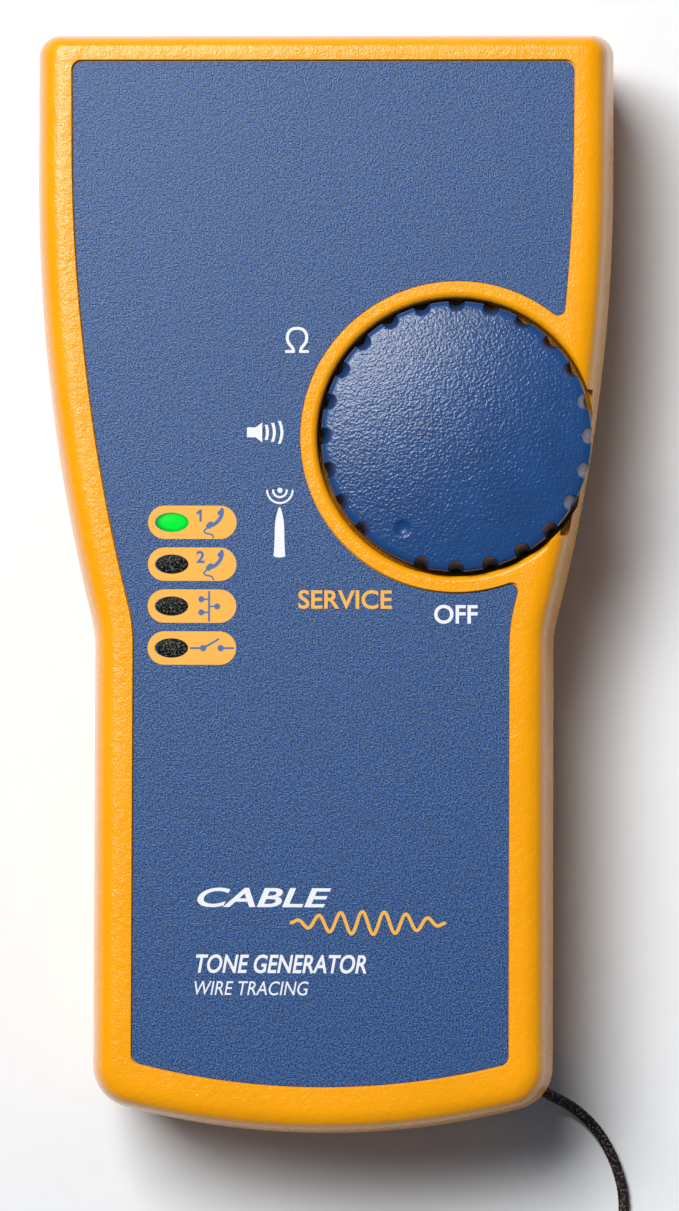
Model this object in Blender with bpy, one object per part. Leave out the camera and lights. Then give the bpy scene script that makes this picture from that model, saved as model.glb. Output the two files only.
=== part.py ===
"""Handheld tone generator for tracing cables, lying on its back.

The wide end with the sockets points to +Y, the selector knob sits towards +X, and the printed
front faces +Z. The origin is under the middle of the case, on the surface that it lies on.
All sizes below are in millimetres; the helper functions turn them into metres.
"""

import bmesh
import bpy
from math import acos, asin, atan2, cos, degrees, pi, radians, sin, sqrt
from mathutils import Matrix, Vector

MM = 0.001
GAP = 0.3
MERGE_DISTANCE = 1e-4
SHARP_ANGLE = 32.0
# Cutters that pass right through the case end at these heights.
UNDER_Z = -2.0
OVER_Z = 40.0

# Case outline in plan: a wide head, long curved flanks, a waist and a straight grip.
HALF_WIDTH = 37.0
HALF_GRIP = 29.45
TOP_END = 70.45
BOTTOM_END = -70.45
TOP_CORNER_R = 2.8
BOTTOM_CORNER_R = 5.5
BOTTOM_ARC_R = 100.0
FLANK_R = 230.0
FLANK_START_Y = 52.0
WAIST_R = 16.0
SMALLEST_R = 0.8

# Heights.
PARTING_Z = 16.0
FLOOR_Z = 2.0
CEILING_Z = 26.4
RECESS_Z = 28.1
PANEL_Z = 28.8
BEZEL_Z = 29.2

# Each pair is a height and how far the wall there lies inside the widest outline.
REAR_SKIN = [(0.0, 4.2), (0.3, 3.2), (1.2, 2.2), (3.0, 1.4), (8.0, 0.6), (PARTING_Z, 0.0)]
REAR_CORE = [(FLOOR_Z, 4.6), (3.6, 3.5), (8.0, 2.6), (PARTING_Z + 0.5, 2.0)]
FRONT_SKIN = [
    (PARTING_Z + GAP, 0.0), (21.0, 0.5), (25.0, 1.0), (26.8, 1.5), (27.7, 2.0),
    (28.3, 2.6), (28.8, 3.5), (BEZEL_Z, 4.8),
]
FRONT_CORE = [(PARTING_Z - 0.5, 2.0), (21.0, 2.3), (24.6, 2.8), (CEILING_Z, 4.4)]

# Recess for the printed panel, as distances inside the widest outline.
RECESS_SIDE = 5.7
RECESS_TOP = 4.9
RECESS_BOTTOM = 6.7

# Selector knob, its well and the ring around the well.
KNOB_X = 16.9
KNOB_Y = 17.9
KNOB_R = 17.1
KNOB_RIM_Z = 30.6
KNOB_BASE_Z = 23.6
KNOB_DOME = [(15.2, 30.75), (10.0, 31.5), (5.0, 31.9)]
KNOB_SKIRT = 1.8
KNOB_ROOF_Z = 28.8
WELL_R = 17.6
RING_R = 19.4
WELL_FLOOR_Z = 23.3
WELL_UNDER_Z = 22.1
SHAFT_HOLE_R = 4.2
DETENT_STEP = 30.0
OFF_ANGLE = -90.0
POINTER_ANGLE = OFF_ANGLE - DETENT_STEP
NOTCH_PITCH = 15.0
NOTCH_R = 1.05
POINTER_R = 13.4
DIMPLE_R = 0.9
DIMPLE_Z = 30.3
KNOB_HUB_R = 5.2
KNOB_SOCKET_Z = 29.3
THUMB_LOW_Y = 5.8
THUMB_HIGH_Y = 23.6
THUMB_X = 30.0
THUMB_END_X = 44.0

# Rotary switch under the knob.
SHAFT_R = 3.0
SWITCH_R = 13.0
SWITCH_WALL = 1.0
SWITCH_BASE_Z = 18.3
SWITCH_FLOOR_Z = 19.0
SWITCH_LID_Z = 21.0
SWITCH_TOP_Z = 21.8
LID_HOLE_R = 3.5
ROTOR_R = 9.4
ROTOR_DIP = 0.8
ROTOR_LOW_Z = 19.9
ROTOR_HIGH_Z = 20.7
SHAFT_TOP_Z = 29.0
WIPER_LOW_Z = 19.3
WIPER_HIGH_Z = 19.6
WIPER_REACH = 8.4
WIPER_NECK = 3.2
LEAF_LOW_Z = 19.5
LEAF_HIGH_Z = 20.5

# Circuit board.
BOARD_LOW_Z = 16.4
BOARD_HIGH_Z = 18.0
BOARD_INSET = 2.9
BOARD_LOW_Y = -12.3
BOARD_HIGH_Y = 66.0
PART_LOW_Z = BOARD_HIGH_Z + GAP
HANG_Z = BOARD_LOW_Z - GAP
# Bosses that the board is screwed to, each a place in plan.
BOARD_BOSSES = [(-27.0, 30.0), (-8.0, -8.0)]
BOARD_BOSS_R = 2.4
BOARD_PILOT_R = 1.2
BOARD_PILOT_Z = 24.5
BOARD_HOLE_R = 1.3
BOARD_SCREW_HEAD_R = 1.9
BOARD_SCREW_SHANK_R = 0.85
BOARD_SCREW_TIP_Z = 23.5

# Lamps and their light pipes.
LAMP_X = -18.7
LAMP_TOP_Y = 7.1
LAMP_PITCH = 5.27
LAMP_COUNT = 4
LAMP_HALF_X = 2.1
LAMP_HALF_Y = 1.2
LED_HALF_X = 1.6
LED_HALF_Y = 1.35
LED_TOP_Z = 20.0

# Sockets in the wide end.
SOCKET_FACE_Y = 68.8
SOCKET_LOW_Z = 3.3
NETWORK_X = -16.6
PHONE_X = 21.0
COAX_X = 2.9
COAX_Z = 9.6
COAX_WELL_R = 6.1
COAX_THREAD_R = 4.75
COAX_WELL_Y = 59.2
COAX_BORE_R = 3.6
COAX_PIN_R = 0.6
WINDOW_LOW_Y = 60.0
WINDOW_HIGH_Y = 75.0
# A modular socket's mouth goes this far in; its latch way is a shallow groove under it.
MOUTH_DEPTH = 12.4
LATCH_HALF_X = 2.2
LATCH_DROP = 1.2
CONTACT_PITCH = 1.02
CONTACT_HALF = 0.22
CONTACT_ROOT = 2.0
CONTACT_TIP = 8.0
CONTACT_THICK = 0.45
CONTACT_DROP = 1.1
COMB_EDGE = 0.7
# Each socket's name, middle and half width.
SOCKETS = [("network", NETWORK_X, 7.9), ("coax", COAX_X, 7.6), ("phone", PHONE_X, 6.6)]
# Depth of a modular socket's body, then its mouth as half width, low edge and high edge.
NETWORK_BODY = (20.8, (5.9, 5.6, 13.6))
PHONE_BODY = (17.8, (4.9, 6.0, 13.0))

# Nine-volt block battery, its bay and its door.
CELL_HALF_X = 13.1
CELL_LOW_Y = -63.9
CELL_HIGH_Y = -17.5
CELL_LOW_Z = 3.9
CELL_HIGH_Z = 21.2
CELL_ROUND = 1.6
STUD_X = 6.35
STUD_LENGTH = 2.1
MALE_STUD_R = 2.9
FEMALE_STUD_R = 4.0
SNAP_HALF_X = 12.6
SNAP_THICK = 2.0
LEAD_D = 1.2
BAY_HALF_X = 14.2
BAY_WALL = 1.2
BAY_WALL_Z = 14.0
BAY_WALL_END_Y = -15.0
BAY_MOUTH_LOW_Y = -61.6
BAY_MOUTH_HIGH_Y = -10.6
DOOR_HALF_X = 16.0
DOOR_LOW_Y = -62.2
DOOR_HIGH_Y = -1.8
DOOR_LOW_Z = 0.2
DOOR_HIGH_Z = 1.4
DOOR_GAP = 0.4
DOOR_FRAME = 2.4
DOOR_FRAME_Z = 3.2
DOOR_SCREW_Y = -6.2
DOOR_PILOT_R = 1.75
DOOR_SCREW_TIP_Z = 7.4
DOOR_TAB_X = 9.5
DOOR_TAB_HALF = 2.5
TAB_LOW_Z = 1.9
TAB_HIGH_Z = 2.8
TAB_REACH = 2.2
FOAM_PLAN = ((-9.0, -52.0), (9.0, -26.0))
TAB_SLOT_LOW_Y = -64.9
TAB_SLOT_HIGH_Y = -60.0
DOOR_BOSS_R = 4.2
DOOR_BOSS_Z = 3.2
DOOR_HEAD_HOLE_R = 2.8
DOOR_HEAD_SEAT_Z = 1.9
DOOR_TOWER_R = 3.6
DOOR_TOWER_Z = 12.5
DOOR_FOOT_R = 6.0
DOOR_FOOT_Z = 5.2

# Screws.
HEAD_BOSS = (28.8, 43.0)
GRIP_BOSS = (21.4, -53.0)
REAR_BOSS_R = 3.9
FRONT_BOSS_R = 3.4
SCREW_HEAD_R = 2.5
SCREW_SHANK_R = 1.1
SCREW_HEAD_THICK = 1.8
SCREW_TIP_Z = 24.0
PILOT_TOP_Z = 25.0
HEAD_SEAT_Z = 7.5

# Wrist lanyard: a pin across a pocket in the corner, a hitch on the pin, a cord, and its coil.
PIN_X = 24.0
PIN_Y = -62.6
PIN_R = 1.0
PIN_LOW_Z = 2.5
PIN_HIGH_Z = 10.4
POCKET_R = 3.4
POCKET_LENGTH = 9.0
POCKET_LOW_Z = 3.5
POCKET_HIGH_Z = 9.0
POCKET_ANGLE = -36.0
POCKET_WALL = 1.6
CORD_D = 1.4
HITCH_Z = 6.0
HITCH_ROUND = 0.4
COIL_X = 38.5
COIL_Y = -98.7
COIL_MIDDLE_R = 7.7
COIL_HALF = 2.1
COIL_LIFT = 0.1
FERRULE_LOW = (36.9, -88.4, 0.05)
FERRULE_HIGH = (40.1, -83.4, 2.05)
CORD_ROUTE = [
    (26.6, -64.6, 6.2), (27.6, -65.3, 5.9), (28.8, -66.1, 5.0), (30.2, -66.9, 3.6),
    (31.4, -67.6, 2.4), (32.7, -68.5, 1.5), (34.2, -69.8, 1.0), (35.6, -71.4, 0.85),
    (36.7, -73.1, 0.8), (37.6, -74.9, 0.8), (38.3, -76.8, 0.8), (38.8, -78.8, 0.8),
    (39.0, -80.9, 0.8), (39.0, -83.0, 0.8),
]

# Colours are linear red, green and blue.
YELLOW = ("case_yellow", (1.0, 0.42, 0.02), 0.45, 0.0)
BLUE = ("panel_blue", (0.06, 0.12, 0.32), 0.6, 0.0)
KNOB_BLUE = ("knob_blue", (0.03, 0.08, 0.25), 0.4, 0.0)
BLACK = ("black_plastic", (0.02, 0.02, 0.022), 0.5, 0.0)
GREY = ("grey_plastic", (0.25, 0.25, 0.26), 0.5, 0.0)
WHITE = ("white_plastic", (0.8, 0.8, 0.78), 0.5, 0.0)
GREEN = ("board_green", (0.02, 0.18, 0.07), 0.4, 0.0)
STEEL = ("steel", (0.6, 0.6, 0.6), 0.3, 1.0)
GOLD = ("gold_plate", (0.9, 0.62, 0.25), 0.25, 1.0)
LENS = ("clear_lens", (0.1, 0.11, 0.1), 0.2, 0.0)
LIT_LENS = ("lit_lens", (0.0, 0.9, 0.12), 0.2, 0.0)
CELL = ("battery_wrap", (0.03, 0.03, 0.035), 0.35, 0.2)
FOAM = ("foam", (0.05, 0.05, 0.05), 0.95, 0.0)
CORD = ("cord_black", (0.02, 0.018, 0.018), 0.9, 0.0)
RED = ("wire_red", (0.5, 0.02, 0.02), 0.5, 0.0)


# ---------------------------------------------------------------- helpers

def clear_scene():
    for obj in list(bpy.data.objects):
        bpy.data.objects.remove(obj, do_unlink=True)


def material(finish):
    name, colour, roughness, metallic = finish
    made = bpy.data.materials.get(name)
    if made:
        return made
    made = bpy.data.materials.new(name)
    made.use_nodes = True
    shader = made.node_tree.nodes["Principled BSDF"]
    shader.inputs["Base Color"].default_value = (*colour, 1.0)
    shader.inputs["Roughness"].default_value = roughness
    shader.inputs["Metallic"].default_value = metallic
    return made


def finish_mesh(name, bm, finish, origin=(0.0, 0.0, 0.0)):
    """Turns a bmesh in millimetres into an object in metres whose origin is the given point."""
    bmesh.ops.remove_doubles(bm, verts=bm.verts, dist=MERGE_DISTANCE)
    bmesh.ops.recalc_face_normals(bm, faces=bm.faces)
    bm.transform(Matrix.Scale(MM, 4) @ Matrix.Translation(-Vector(origin)))
    mesh = bpy.data.meshes.new(name)
    bm.to_mesh(mesh)
    bm.free()
    mesh.shade_smooth()
    mesh.set_sharp_from_angle(angle=radians(SHARP_ANGLE))
    obj = bpy.data.objects.new(name, mesh)
    bpy.context.scene.collection.objects.link(obj)
    obj.location = Vector(origin) * MM
    if finish:
        mesh.materials.append(material(finish))
    else:
        obj.hide_render = True
        obj.display_type = "WIRE"
    return obj


def add_rings(bm, rings):
    """Joins rings of equally many points into a closed skin with a flat face at each end."""
    made = [[bm.verts.new(point) for point in ring] for ring in rings]
    count = len(made[0])
    for low, high in zip(made, made[1:]):
        for i in range(count):
            j = (i + 1) % count
            bm.faces.new((low[i], low[j], high[j], high[i]))
    bm.faces.new(made[0][::-1])
    bm.faces.new(made[-1])


def loft(name, finish, rings):
    bm = bmesh.new()
    add_rings(bm, rings)
    return finish_mesh(name, bm, finish)


def prism(name, finish, outline, low, high):
    """An outline in plan, extruded between two heights."""
    return loft(name, finish, [[(x, y, z) for x, y in outline] for z in (low, high)])


def box(name, finish, low, high):
    bm = bmesh.new()
    size = Vector(high) - Vector(low)
    place = Matrix.Translation((Vector(high) + Vector(low)) / 2) @ Matrix.Diagonal((*size, 1.0))
    bmesh.ops.create_cube(bm, size=1.0, matrix=place)
    return finish_mesh(name, bm, finish)


def rod(name, finish, radius, start, end, sides=20):
    """A straight round bar between two points."""
    start, end = Vector(start), Vector(end)
    along = end - start
    turn = along.to_track_quat("Z", "Y").to_matrix().to_4x4()
    bm = bmesh.new()
    bmesh.ops.create_cone(
        bm, cap_ends=True, segments=sides, radius1=radius, radius2=radius,
        depth=along.length, matrix=Matrix.Translation((start + end) / 2) @ turn,
    )
    return finish_mesh(name, bm, finish)


def disc(name, finish, radius, x, y, low, high, sides=32):
    return rod(name, finish, radius, (x, y, low), (x, y, high), sides)


def turned(name, finish, profile, centre, steps=32, closed=False):
    """Spins a profile of (radius, height) pairs about the vertical line through centre."""
    bm = bmesh.new()
    cx, cy = centre
    verts = [bm.verts.new((cx + r, cy, z)) for r, z in profile]
    edges = [bm.edges.new(pair) for pair in zip(verts, verts[1:])]
    if closed:
        edges.append(bm.edges.new((verts[-1], verts[0])))
    bmesh.ops.spin(
        bm, geom=verts + edges, cent=(cx, cy, 0), axis=(0, 0, 1),
        angle=2 * pi, steps=steps, use_merge=True,
    )
    return finish_mesh(name, bm, finish, origin=(cx, cy, 0))


def soften(obj, width, segments):
    """Rounds all the edges of an object."""
    bevel = obj.modifiers.new("round", "BEVEL")
    bevel.width = width * MM
    bevel.segments = segments


def boolean(target, other, operation):
    step = target.modifiers.new(f"{operation.lower()} {other.name}", "BOOLEAN")
    step.operation = operation
    step.object = other
    step.solver = "EXACT"


def cut(target, *cutters):
    for cutter in cutters:
        boolean(target, cutter, "DIFFERENCE")


def unite(target, *extras):
    for extra in extras:
        boolean(target, extra, "UNION")


def tube(name, finish, points, diameter):
    """A round cord or wire through the given points, smoothed and closed at both ends."""
    curve = bpy.data.curves.new(name, "CURVE")
    curve.dimensions = "3D"
    curve.bevel_depth = diameter / 2 * MM
    curve.bevel_resolution = 2
    curve.use_fill_caps = True
    line = smooth_line(points, 2)
    spline = curve.splines.new("POLY")
    spline.points.add(len(line) - 1)
    for place, point in zip(spline.points, line):
        place.co = (*(point * MM), 1.0)
    curve.materials.append(material(finish))
    obj = bpy.data.objects.new(name, curve)
    bpy.context.scene.collection.objects.link(obj)
    return obj


def smooth_line(points, steps):
    """A Catmull-Rom curve through the points, with this many steps between two of them."""
    points = [Vector(p) for p in points]
    padded = [2 * points[0] - points[1], *points, 2 * points[-1] - points[-2]]
    line = []
    for a, b, c, d in zip(padded, padded[1:], padded[2:], padded[3:]):
        for step in range(steps):
            t = step / steps
            line.append(
                0.5 * (2 * b + (c - a) * t + (2 * a - 5 * b + 4 * c - d) * t**2
                       + (3 * b - a - 3 * c + d) * t**3)
            )
    return [*line, points[-1]]


def arc(cx, cy, radius, start, stop, steps):
    """Points on an arc from one angle in degrees to another, both ends included."""
    angles = [radians(start + (stop - start) * i / steps) for i in range(steps + 1)]
    return [(cx + radius * cos(a), cy + radius * sin(a)) for a in angles]


def case_outline(side, top=None, bottom=None):
    """The case's plan outline moved inwards by side, top and bottom at its flanks and two ends."""
    top = side if top is None else top
    bottom = side if bottom is None else bottom
    corner = max(TOP_CORNER_R - side, SMALLEST_R)
    right = arc(HALF_WIDTH - side - corner, TOP_END - top - corner, corner, 90, 0, 4)

    reach = FLANK_R + WAIST_R
    waist_x = HALF_GRIP + WAIST_R
    bend = degrees(acos((waist_x - HALF_WIDTH + FLANK_R) / reach))
    waist_y = FLANK_START_Y - reach * sin(radians(bend))
    right += arc(HALF_WIDTH - FLANK_R, FLANK_START_Y, FLANK_R - side, 0, -bend, 8)
    right += arc(waist_x, waist_y, WAIST_R + side, 180 - bend, 180, 3)

    corner = max(BOTTOM_CORNER_R - side, SMALLEST_R)
    end_y = BOTTOM_END + BOTTOM_ARC_R
    end_r = BOTTOM_ARC_R - bottom
    corner_x = HALF_GRIP - side - corner
    drop = sqrt((end_r - corner) ** 2 - corner_x**2)
    turn = degrees(asin(corner_x / (end_r - corner))) - 90
    right += arc(corner_x, end_y - drop, corner, 0, turn, 4)
    right += arc(0, end_y, end_r, turn, -90, 4)[1:]
    left = [(-x, y) for x, y in right[-2::-1]]
    return (right + left)[::-1]


def case_loft(name, finish, levels):
    rings = [[(x, y, z) for x, y in case_outline(inset)] for z, inset in levels]
    return loft(name, finish, rings)


def ellipse(cx, cy, half_x, half_y, sides=24):
    angles = [2 * pi * i / sides for i in range(sides)]
    return [(cx + half_x * cos(a), cy + half_y * sin(a)) for a in angles]


def boss_places():
    return [(side * x, y) for x, y in (HEAD_BOSS, GRIP_BOSS) for side in (-1, 1)]


def lamp_places():
    return [(LAMP_X, LAMP_TOP_Y - i * LAMP_PITCH) for i in range(LAMP_COUNT)]


# ---------------------------------------------------------------- case

def make_front_shell():
    """Front half: a rounded bezel, the panel's recess, the knob's well open to the side."""
    core = case_loft("front_core", None, FRONT_CORE)
    cut(core, disc("well_block", None, RING_R, KNOB_X, KNOB_Y, WELL_UNDER_Z, OVER_Z, 48))
    for i, (x, y) in enumerate(boss_places()):
        cut(core, disc(f"front_boss_{i}", None, FRONT_BOSS_R, x, y, PARTING_Z + GAP, OVER_Z, 20))
    for i, (x, y) in enumerate(BOARD_BOSSES):
        cut(core, disc(f"board_boss_{i}", None, BOARD_BOSS_R, x, y, PART_LOW_Z, OVER_Z, 16))

    outline = case_outline(RECESS_SIDE, RECESS_TOP, RECESS_BOTTOM)
    recess = prism("panel_recess", None, outline, RECESS_Z, OVER_Z - 1)
    cut(recess, disc("ring", None, RING_R, KNOB_X, KNOB_Y, WELL_UNDER_Z, OVER_Z, 64))

    shell = case_loft("front_shell", YELLOW, FRONT_SKIN)
    cut(shell, core, recess)
    cut(shell, disc("well", None, WELL_R, KNOB_X, KNOB_Y, WELL_FLOOR_Z, OVER_Z, 64))
    cut(shell, box(
        "thumb_gap", None, (THUMB_X, THUMB_LOW_Y, WELL_FLOOR_Z),
        (THUMB_END_X, THUMB_HIGH_Y, OVER_Z),
    ))
    cut(shell, disc("shaft_hole", None, SHAFT_HOLE_R, KNOB_X, KNOB_Y, SWITCH_BASE_Z, OVER_Z, 24))
    for i, (x, y) in enumerate(lamp_places()):
        hole = ellipse(x, y, LAMP_HALF_X + GAP, LAMP_HALF_Y + GAP)
        cut(shell, prism(f"lamp_hole_{i}", None, hole, LED_TOP_Z, OVER_Z))
    for i, (x, y) in enumerate(boss_places()):
        cut(shell, disc(f"pilot_{i}", None, SCREW_SHANK_R + GAP, x, y, UNDER_Z, PILOT_TOP_Z, 16))
    for i, (x, y) in enumerate(BOARD_BOSSES):
        cut(shell, disc(f"board_pilot_{i}", None, BOARD_PILOT_R, x, y, UNDER_Z, BOARD_PILOT_Z, 12))


def make_rear_shell():
    """Back half: floor, battery bay, screw towers, socket windows and the lanyard corner."""
    core = case_loft("rear_core", None, REAR_CORE)
    for i, (x, y) in enumerate(boss_places()):
        cut(core, disc(f"rear_tower_{i}", None, REAR_BOSS_R, x, y, UNDER_Z, PARTING_Z - 0.1, 20))
    bay_outer = BAY_HALF_X + BAY_WALL
    bay_low_y = CELL_LOW_Y - DOOR_GAP
    for side in (-1, 1):
        wall = sorted((side * BAY_HALF_X, side * bay_outer))
        cut(core, box(
            f"bay_wall_{side}", None, (wall[0], bay_low_y - BAY_WALL, UNDER_Z),
            (wall[1], BAY_WALL_END_Y, BAY_WALL_Z),
        ))
    cut(core, box(
        "bay_end", None, (-bay_outer, bay_low_y - BAY_WALL, UNDER_Z),
        (bay_outer, bay_low_y, BAY_WALL_Z),
    ))
    cut(core, box(
        "door_frame", None, (-DOOR_HALF_X - DOOR_FRAME, DOOR_LOW_Y - DOOR_FRAME, UNDER_Z),
        (DOOR_HALF_X + DOOR_FRAME, DOOR_HIGH_Y + DOOR_FRAME, DOOR_FRAME_Z),
    ))
    for name, radius, top in (("tower", DOOR_TOWER_R, DOOR_TOWER_Z), ("foot", DOOR_FOOT_R, DOOR_FOOT_Z)):
        cut(core, disc(f"door_{name}", None, radius, 0, DOOR_SCREW_Y, UNDER_Z, top, 24))
    cut(core, disc(
        "lanyard_block", None, POCKET_R + POCKET_WALL, PIN_X, PIN_Y, UNDER_Z,
        POCKET_HIGH_Z + 2 * POCKET_WALL, 24,
    ))

    shell = case_loft("rear_shell", YELLOW, REAR_SKIN)
    cut(shell, core)
    cut(shell, box(
        "bay_mouth", None, (-BAY_HALF_X, BAY_MOUTH_LOW_Y, UNDER_Z),
        (BAY_HALF_X, BAY_MOUTH_HIGH_Y, DOOR_FOOT_Z + 1),
    ))
    cut(shell, box(
        "door_recess", None, (-DOOR_HALF_X - DOOR_GAP, DOOR_LOW_Y - DOOR_GAP, UNDER_Z),
        (DOOR_HALF_X + DOOR_GAP, DOOR_HIGH_Y + DOOR_GAP, DOOR_HIGH_Z + GAP),
    ))
    cut(shell, disc(
        "door_boss_hole", None, DOOR_BOSS_R + DOOR_GAP, 0, DOOR_SCREW_Y, UNDER_Z,
        DOOR_BOSS_Z + DOOR_GAP, 24,
    ))
    cut(shell, disc(
        "door_pilot", None, DOOR_PILOT_R, 0, DOOR_SCREW_Y, UNDER_Z, DOOR_TOWER_Z - 1.5, 16
    ))
    for side in (-1, 1):
        x = side * DOOR_TAB_X
        half = DOOR_TAB_HALF + DOOR_GAP
        cut(shell, box(
            f"tab_slot_{side}", None, (x - half, TAB_SLOT_LOW_Y, DOOR_HIGH_Z),
            (x + half, TAB_SLOT_HIGH_Y, DOOR_FOOT_Z + 1),
        ))
    for i, (x, y) in enumerate(boss_places()):
        head, shank = SCREW_HEAD_R + 0.4, SCREW_SHANK_R + 0.4
        cut(shell, disc(f"head_hole_{i}", None, head, x, y, UNDER_Z, HEAD_SEAT_Z, 20))
        cut(shell, disc(f"shank_hole_{i}", None, shank, x, y, 0, PARTING_Z + 1, 16))

    for name, x, half in SOCKETS:
        cut(shell, box(
            f"{name}_window", None, (x - half - GAP, WINDOW_LOW_Y, SOCKET_LOW_Z - GAP),
            (x + half + GAP, WINDOW_HIGH_Y, PARTING_Z + 1),
        ))
    cut_lanyard_pocket(shell)


def cut_lanyard_pocket(shell):
    """A slot with a round end about the pin, open through the corner of the case."""
    reach = Vector((cos(radians(POCKET_ANGLE)), sin(radians(POCKET_ANGLE)))) * POCKET_LENGTH
    aside = Vector((-reach.y, reach.x)).normalized() * POCKET_R
    pin = Vector((PIN_X, PIN_Y))
    start = degrees(reach.angle_signed(Vector((1, 0))))
    round_end = arc(PIN_X, PIN_Y, POCKET_R, start + 90, start + 270, 8)
    mouth = [tuple(pin + reach - aside), tuple(pin + reach + aside)]
    cut(shell, prism("lanyard_pocket", None, round_end + mouth, POCKET_LOW_Z, POCKET_HIGH_Z))
    cut(shell, disc(
        "pin_hole", None, PIN_R + GAP, PIN_X, PIN_Y, PIN_LOW_Z - GAP, PIN_HIGH_Z + GAP, 16
    ))


def make_panel():
    """Printed overlay, let into the front and shaped round the knob's ring."""
    outline = case_outline(RECESS_SIDE + GAP, RECESS_TOP + GAP, RECESS_BOTTOM + GAP)
    panel = prism("front_panel", BLUE, outline, RECESS_Z + GAP, PANEL_Z)
    cut(panel, disc("panel_ring", None, RING_R + GAP, KNOB_X, KNOB_Y, WELL_UNDER_Z, OVER_Z, 64))
    for i, (x, y) in enumerate(lamp_places()):
        hole = ellipse(x, y, LAMP_HALF_X + GAP, LAMP_HALF_Y + GAP)
        cut(panel, prism(f"panel_lamp_hole_{i}", None, hole, LED_TOP_Z, OVER_Z))


def make_screw(name, x, y, head_low, head_high, tip, head_r, shank_r):
    """A pan-head screw pointing up, with its head below, as seen from the back."""
    profile = [
        (0, head_low), (head_r * 0.8, head_low), (head_r, head_low + 0.5), (head_r, head_high),
        (shank_r, head_high), (shank_r, tip - 1.0), (0, tip),
    ]
    screw = turned(name, STEEL, profile, (x, y), 16)
    for i, (half_x, half_y) in enumerate(((head_r * 0.6, 0.3), (0.3, head_r * 0.6))):
        cut(screw, box(
            f"{name}_cross_{i}", None, (x - half_x, y - half_y, head_low - 1),
            (x + half_x, y + half_y, head_low + 0.7 + 0.1 * i),
        ))


def make_screws():
    for i, (x, y) in enumerate(boss_places(), 1):
        make_screw(
            f"case_screw_{i}", x, y, HEAD_SEAT_Z - GAP - SCREW_HEAD_THICK, HEAD_SEAT_Z - GAP,
            SCREW_TIP_Z, SCREW_HEAD_R, SCREW_SHANK_R,
        )
    for i, (x, y) in enumerate(BOARD_BOSSES, 1):
        make_screw(
            f"board_screw_{i}", x, y, HANG_Z - 1.3, HANG_Z,
            BOARD_SCREW_TIP_Z, BOARD_SCREW_HEAD_R, BOARD_SCREW_SHANK_R,
        )


# ---------------------------------------------------------------- knob and switch

def knob_outline(radius):
    """A circle with a round notch at every step but the one that points."""
    points = []
    bite = degrees(asin(NOTCH_R / radius))
    count = round(360 / NOTCH_PITCH)
    for i in range(count):
        middle = POINTER_ANGLE + i * NOTCH_PITCH
        if i == 0:
            points += arc(KNOB_X, KNOB_Y, radius, middle - bite, middle + bite, 1)
            continue
        cx = KNOB_X + radius * cos(radians(middle))
        cy = KNOB_Y + radius * sin(radians(middle))
        inwards = middle + 180
        points += arc(cx, cy, NOTCH_R, inwards + 84, inwards - 84, 5)
    return points


def make_knob():
    rims = [(KNOB_BASE_Z, 0.0), (KNOB_RIM_Z - 0.5, 0.0), (KNOB_RIM_Z, 0.5)]
    rings = [[(x, y, z) for x, y in knob_outline(KNOB_R - inset)] for z, inset in rims]
    bearings = [atan2(y - KNOB_Y, x - KNOB_X) for x, y, z in rings[-1]]
    for radius, z in KNOB_DOME:
        rings.append([
            (KNOB_X + radius * cos(a), KNOB_Y + radius * sin(a), z) for a in bearings
        ])
    knob = loft("selector_knob", KNOB_BLUE, rings)
    inside = KNOB_R - KNOB_SKIRT
    hollow = [
        (KNOB_HUB_R, WELL_UNDER_Z), (inside, WELL_UNDER_Z), (inside, KNOB_ROOF_Z - 1.2),
        (inside - 1.5, KNOB_ROOF_Z), (KNOB_HUB_R, KNOB_ROOF_Z),
    ]
    cut(knob, turned("knob_hollow", None, hollow, (KNOB_X, KNOB_Y), 32, closed=True))
    cut(knob, disc(
        "knob_socket", None, SHAFT_R + GAP, KNOB_X, KNOB_Y, WELL_UNDER_Z, KNOB_SOCKET_Z, 20
    ))
    dimple_x = KNOB_X + POINTER_R * cos(radians(POINTER_ANGLE))
    dimple_y = KNOB_Y + POINTER_R * sin(radians(POINTER_ANGLE))
    dimple = [
        (0, DIMPLE_Z), (DIMPLE_R * 0.7, DIMPLE_Z + 0.2), (DIMPLE_R, DIMPLE_Z + 0.9),
        (DIMPLE_R, OVER_Z), (0, OVER_Z),
    ]
    cut(knob, turned("knob_dimple", None, dimple, (dimple_x, dimple_y), 12))


def make_rotor():
    """Toothed disc and shaft of the switch, one moulding that turns with the knob."""
    steps = round(360 / DETENT_STEP)
    outline = []
    for i in range(steps):
        middle = OFF_ANGLE + i * DETENT_STEP
        outline += arc(KNOB_X, KNOB_Y, ROTOR_R, middle - 10, middle + 10, 3)
        outline += arc(KNOB_X, KNOB_Y, ROTOR_R - ROTOR_DIP, middle + 14, middle + 16, 1)
    rotor = prism("switch_rotor", WHITE, outline, ROTOR_LOW_Z, ROTOR_HIGH_Z)
    unite(rotor, disc(
        "rotor_shaft", None, SHAFT_R, KNOB_X, KNOB_Y, ROTOR_LOW_Z + 0.4, SHAFT_TOP_Z, 20
    ))


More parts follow.
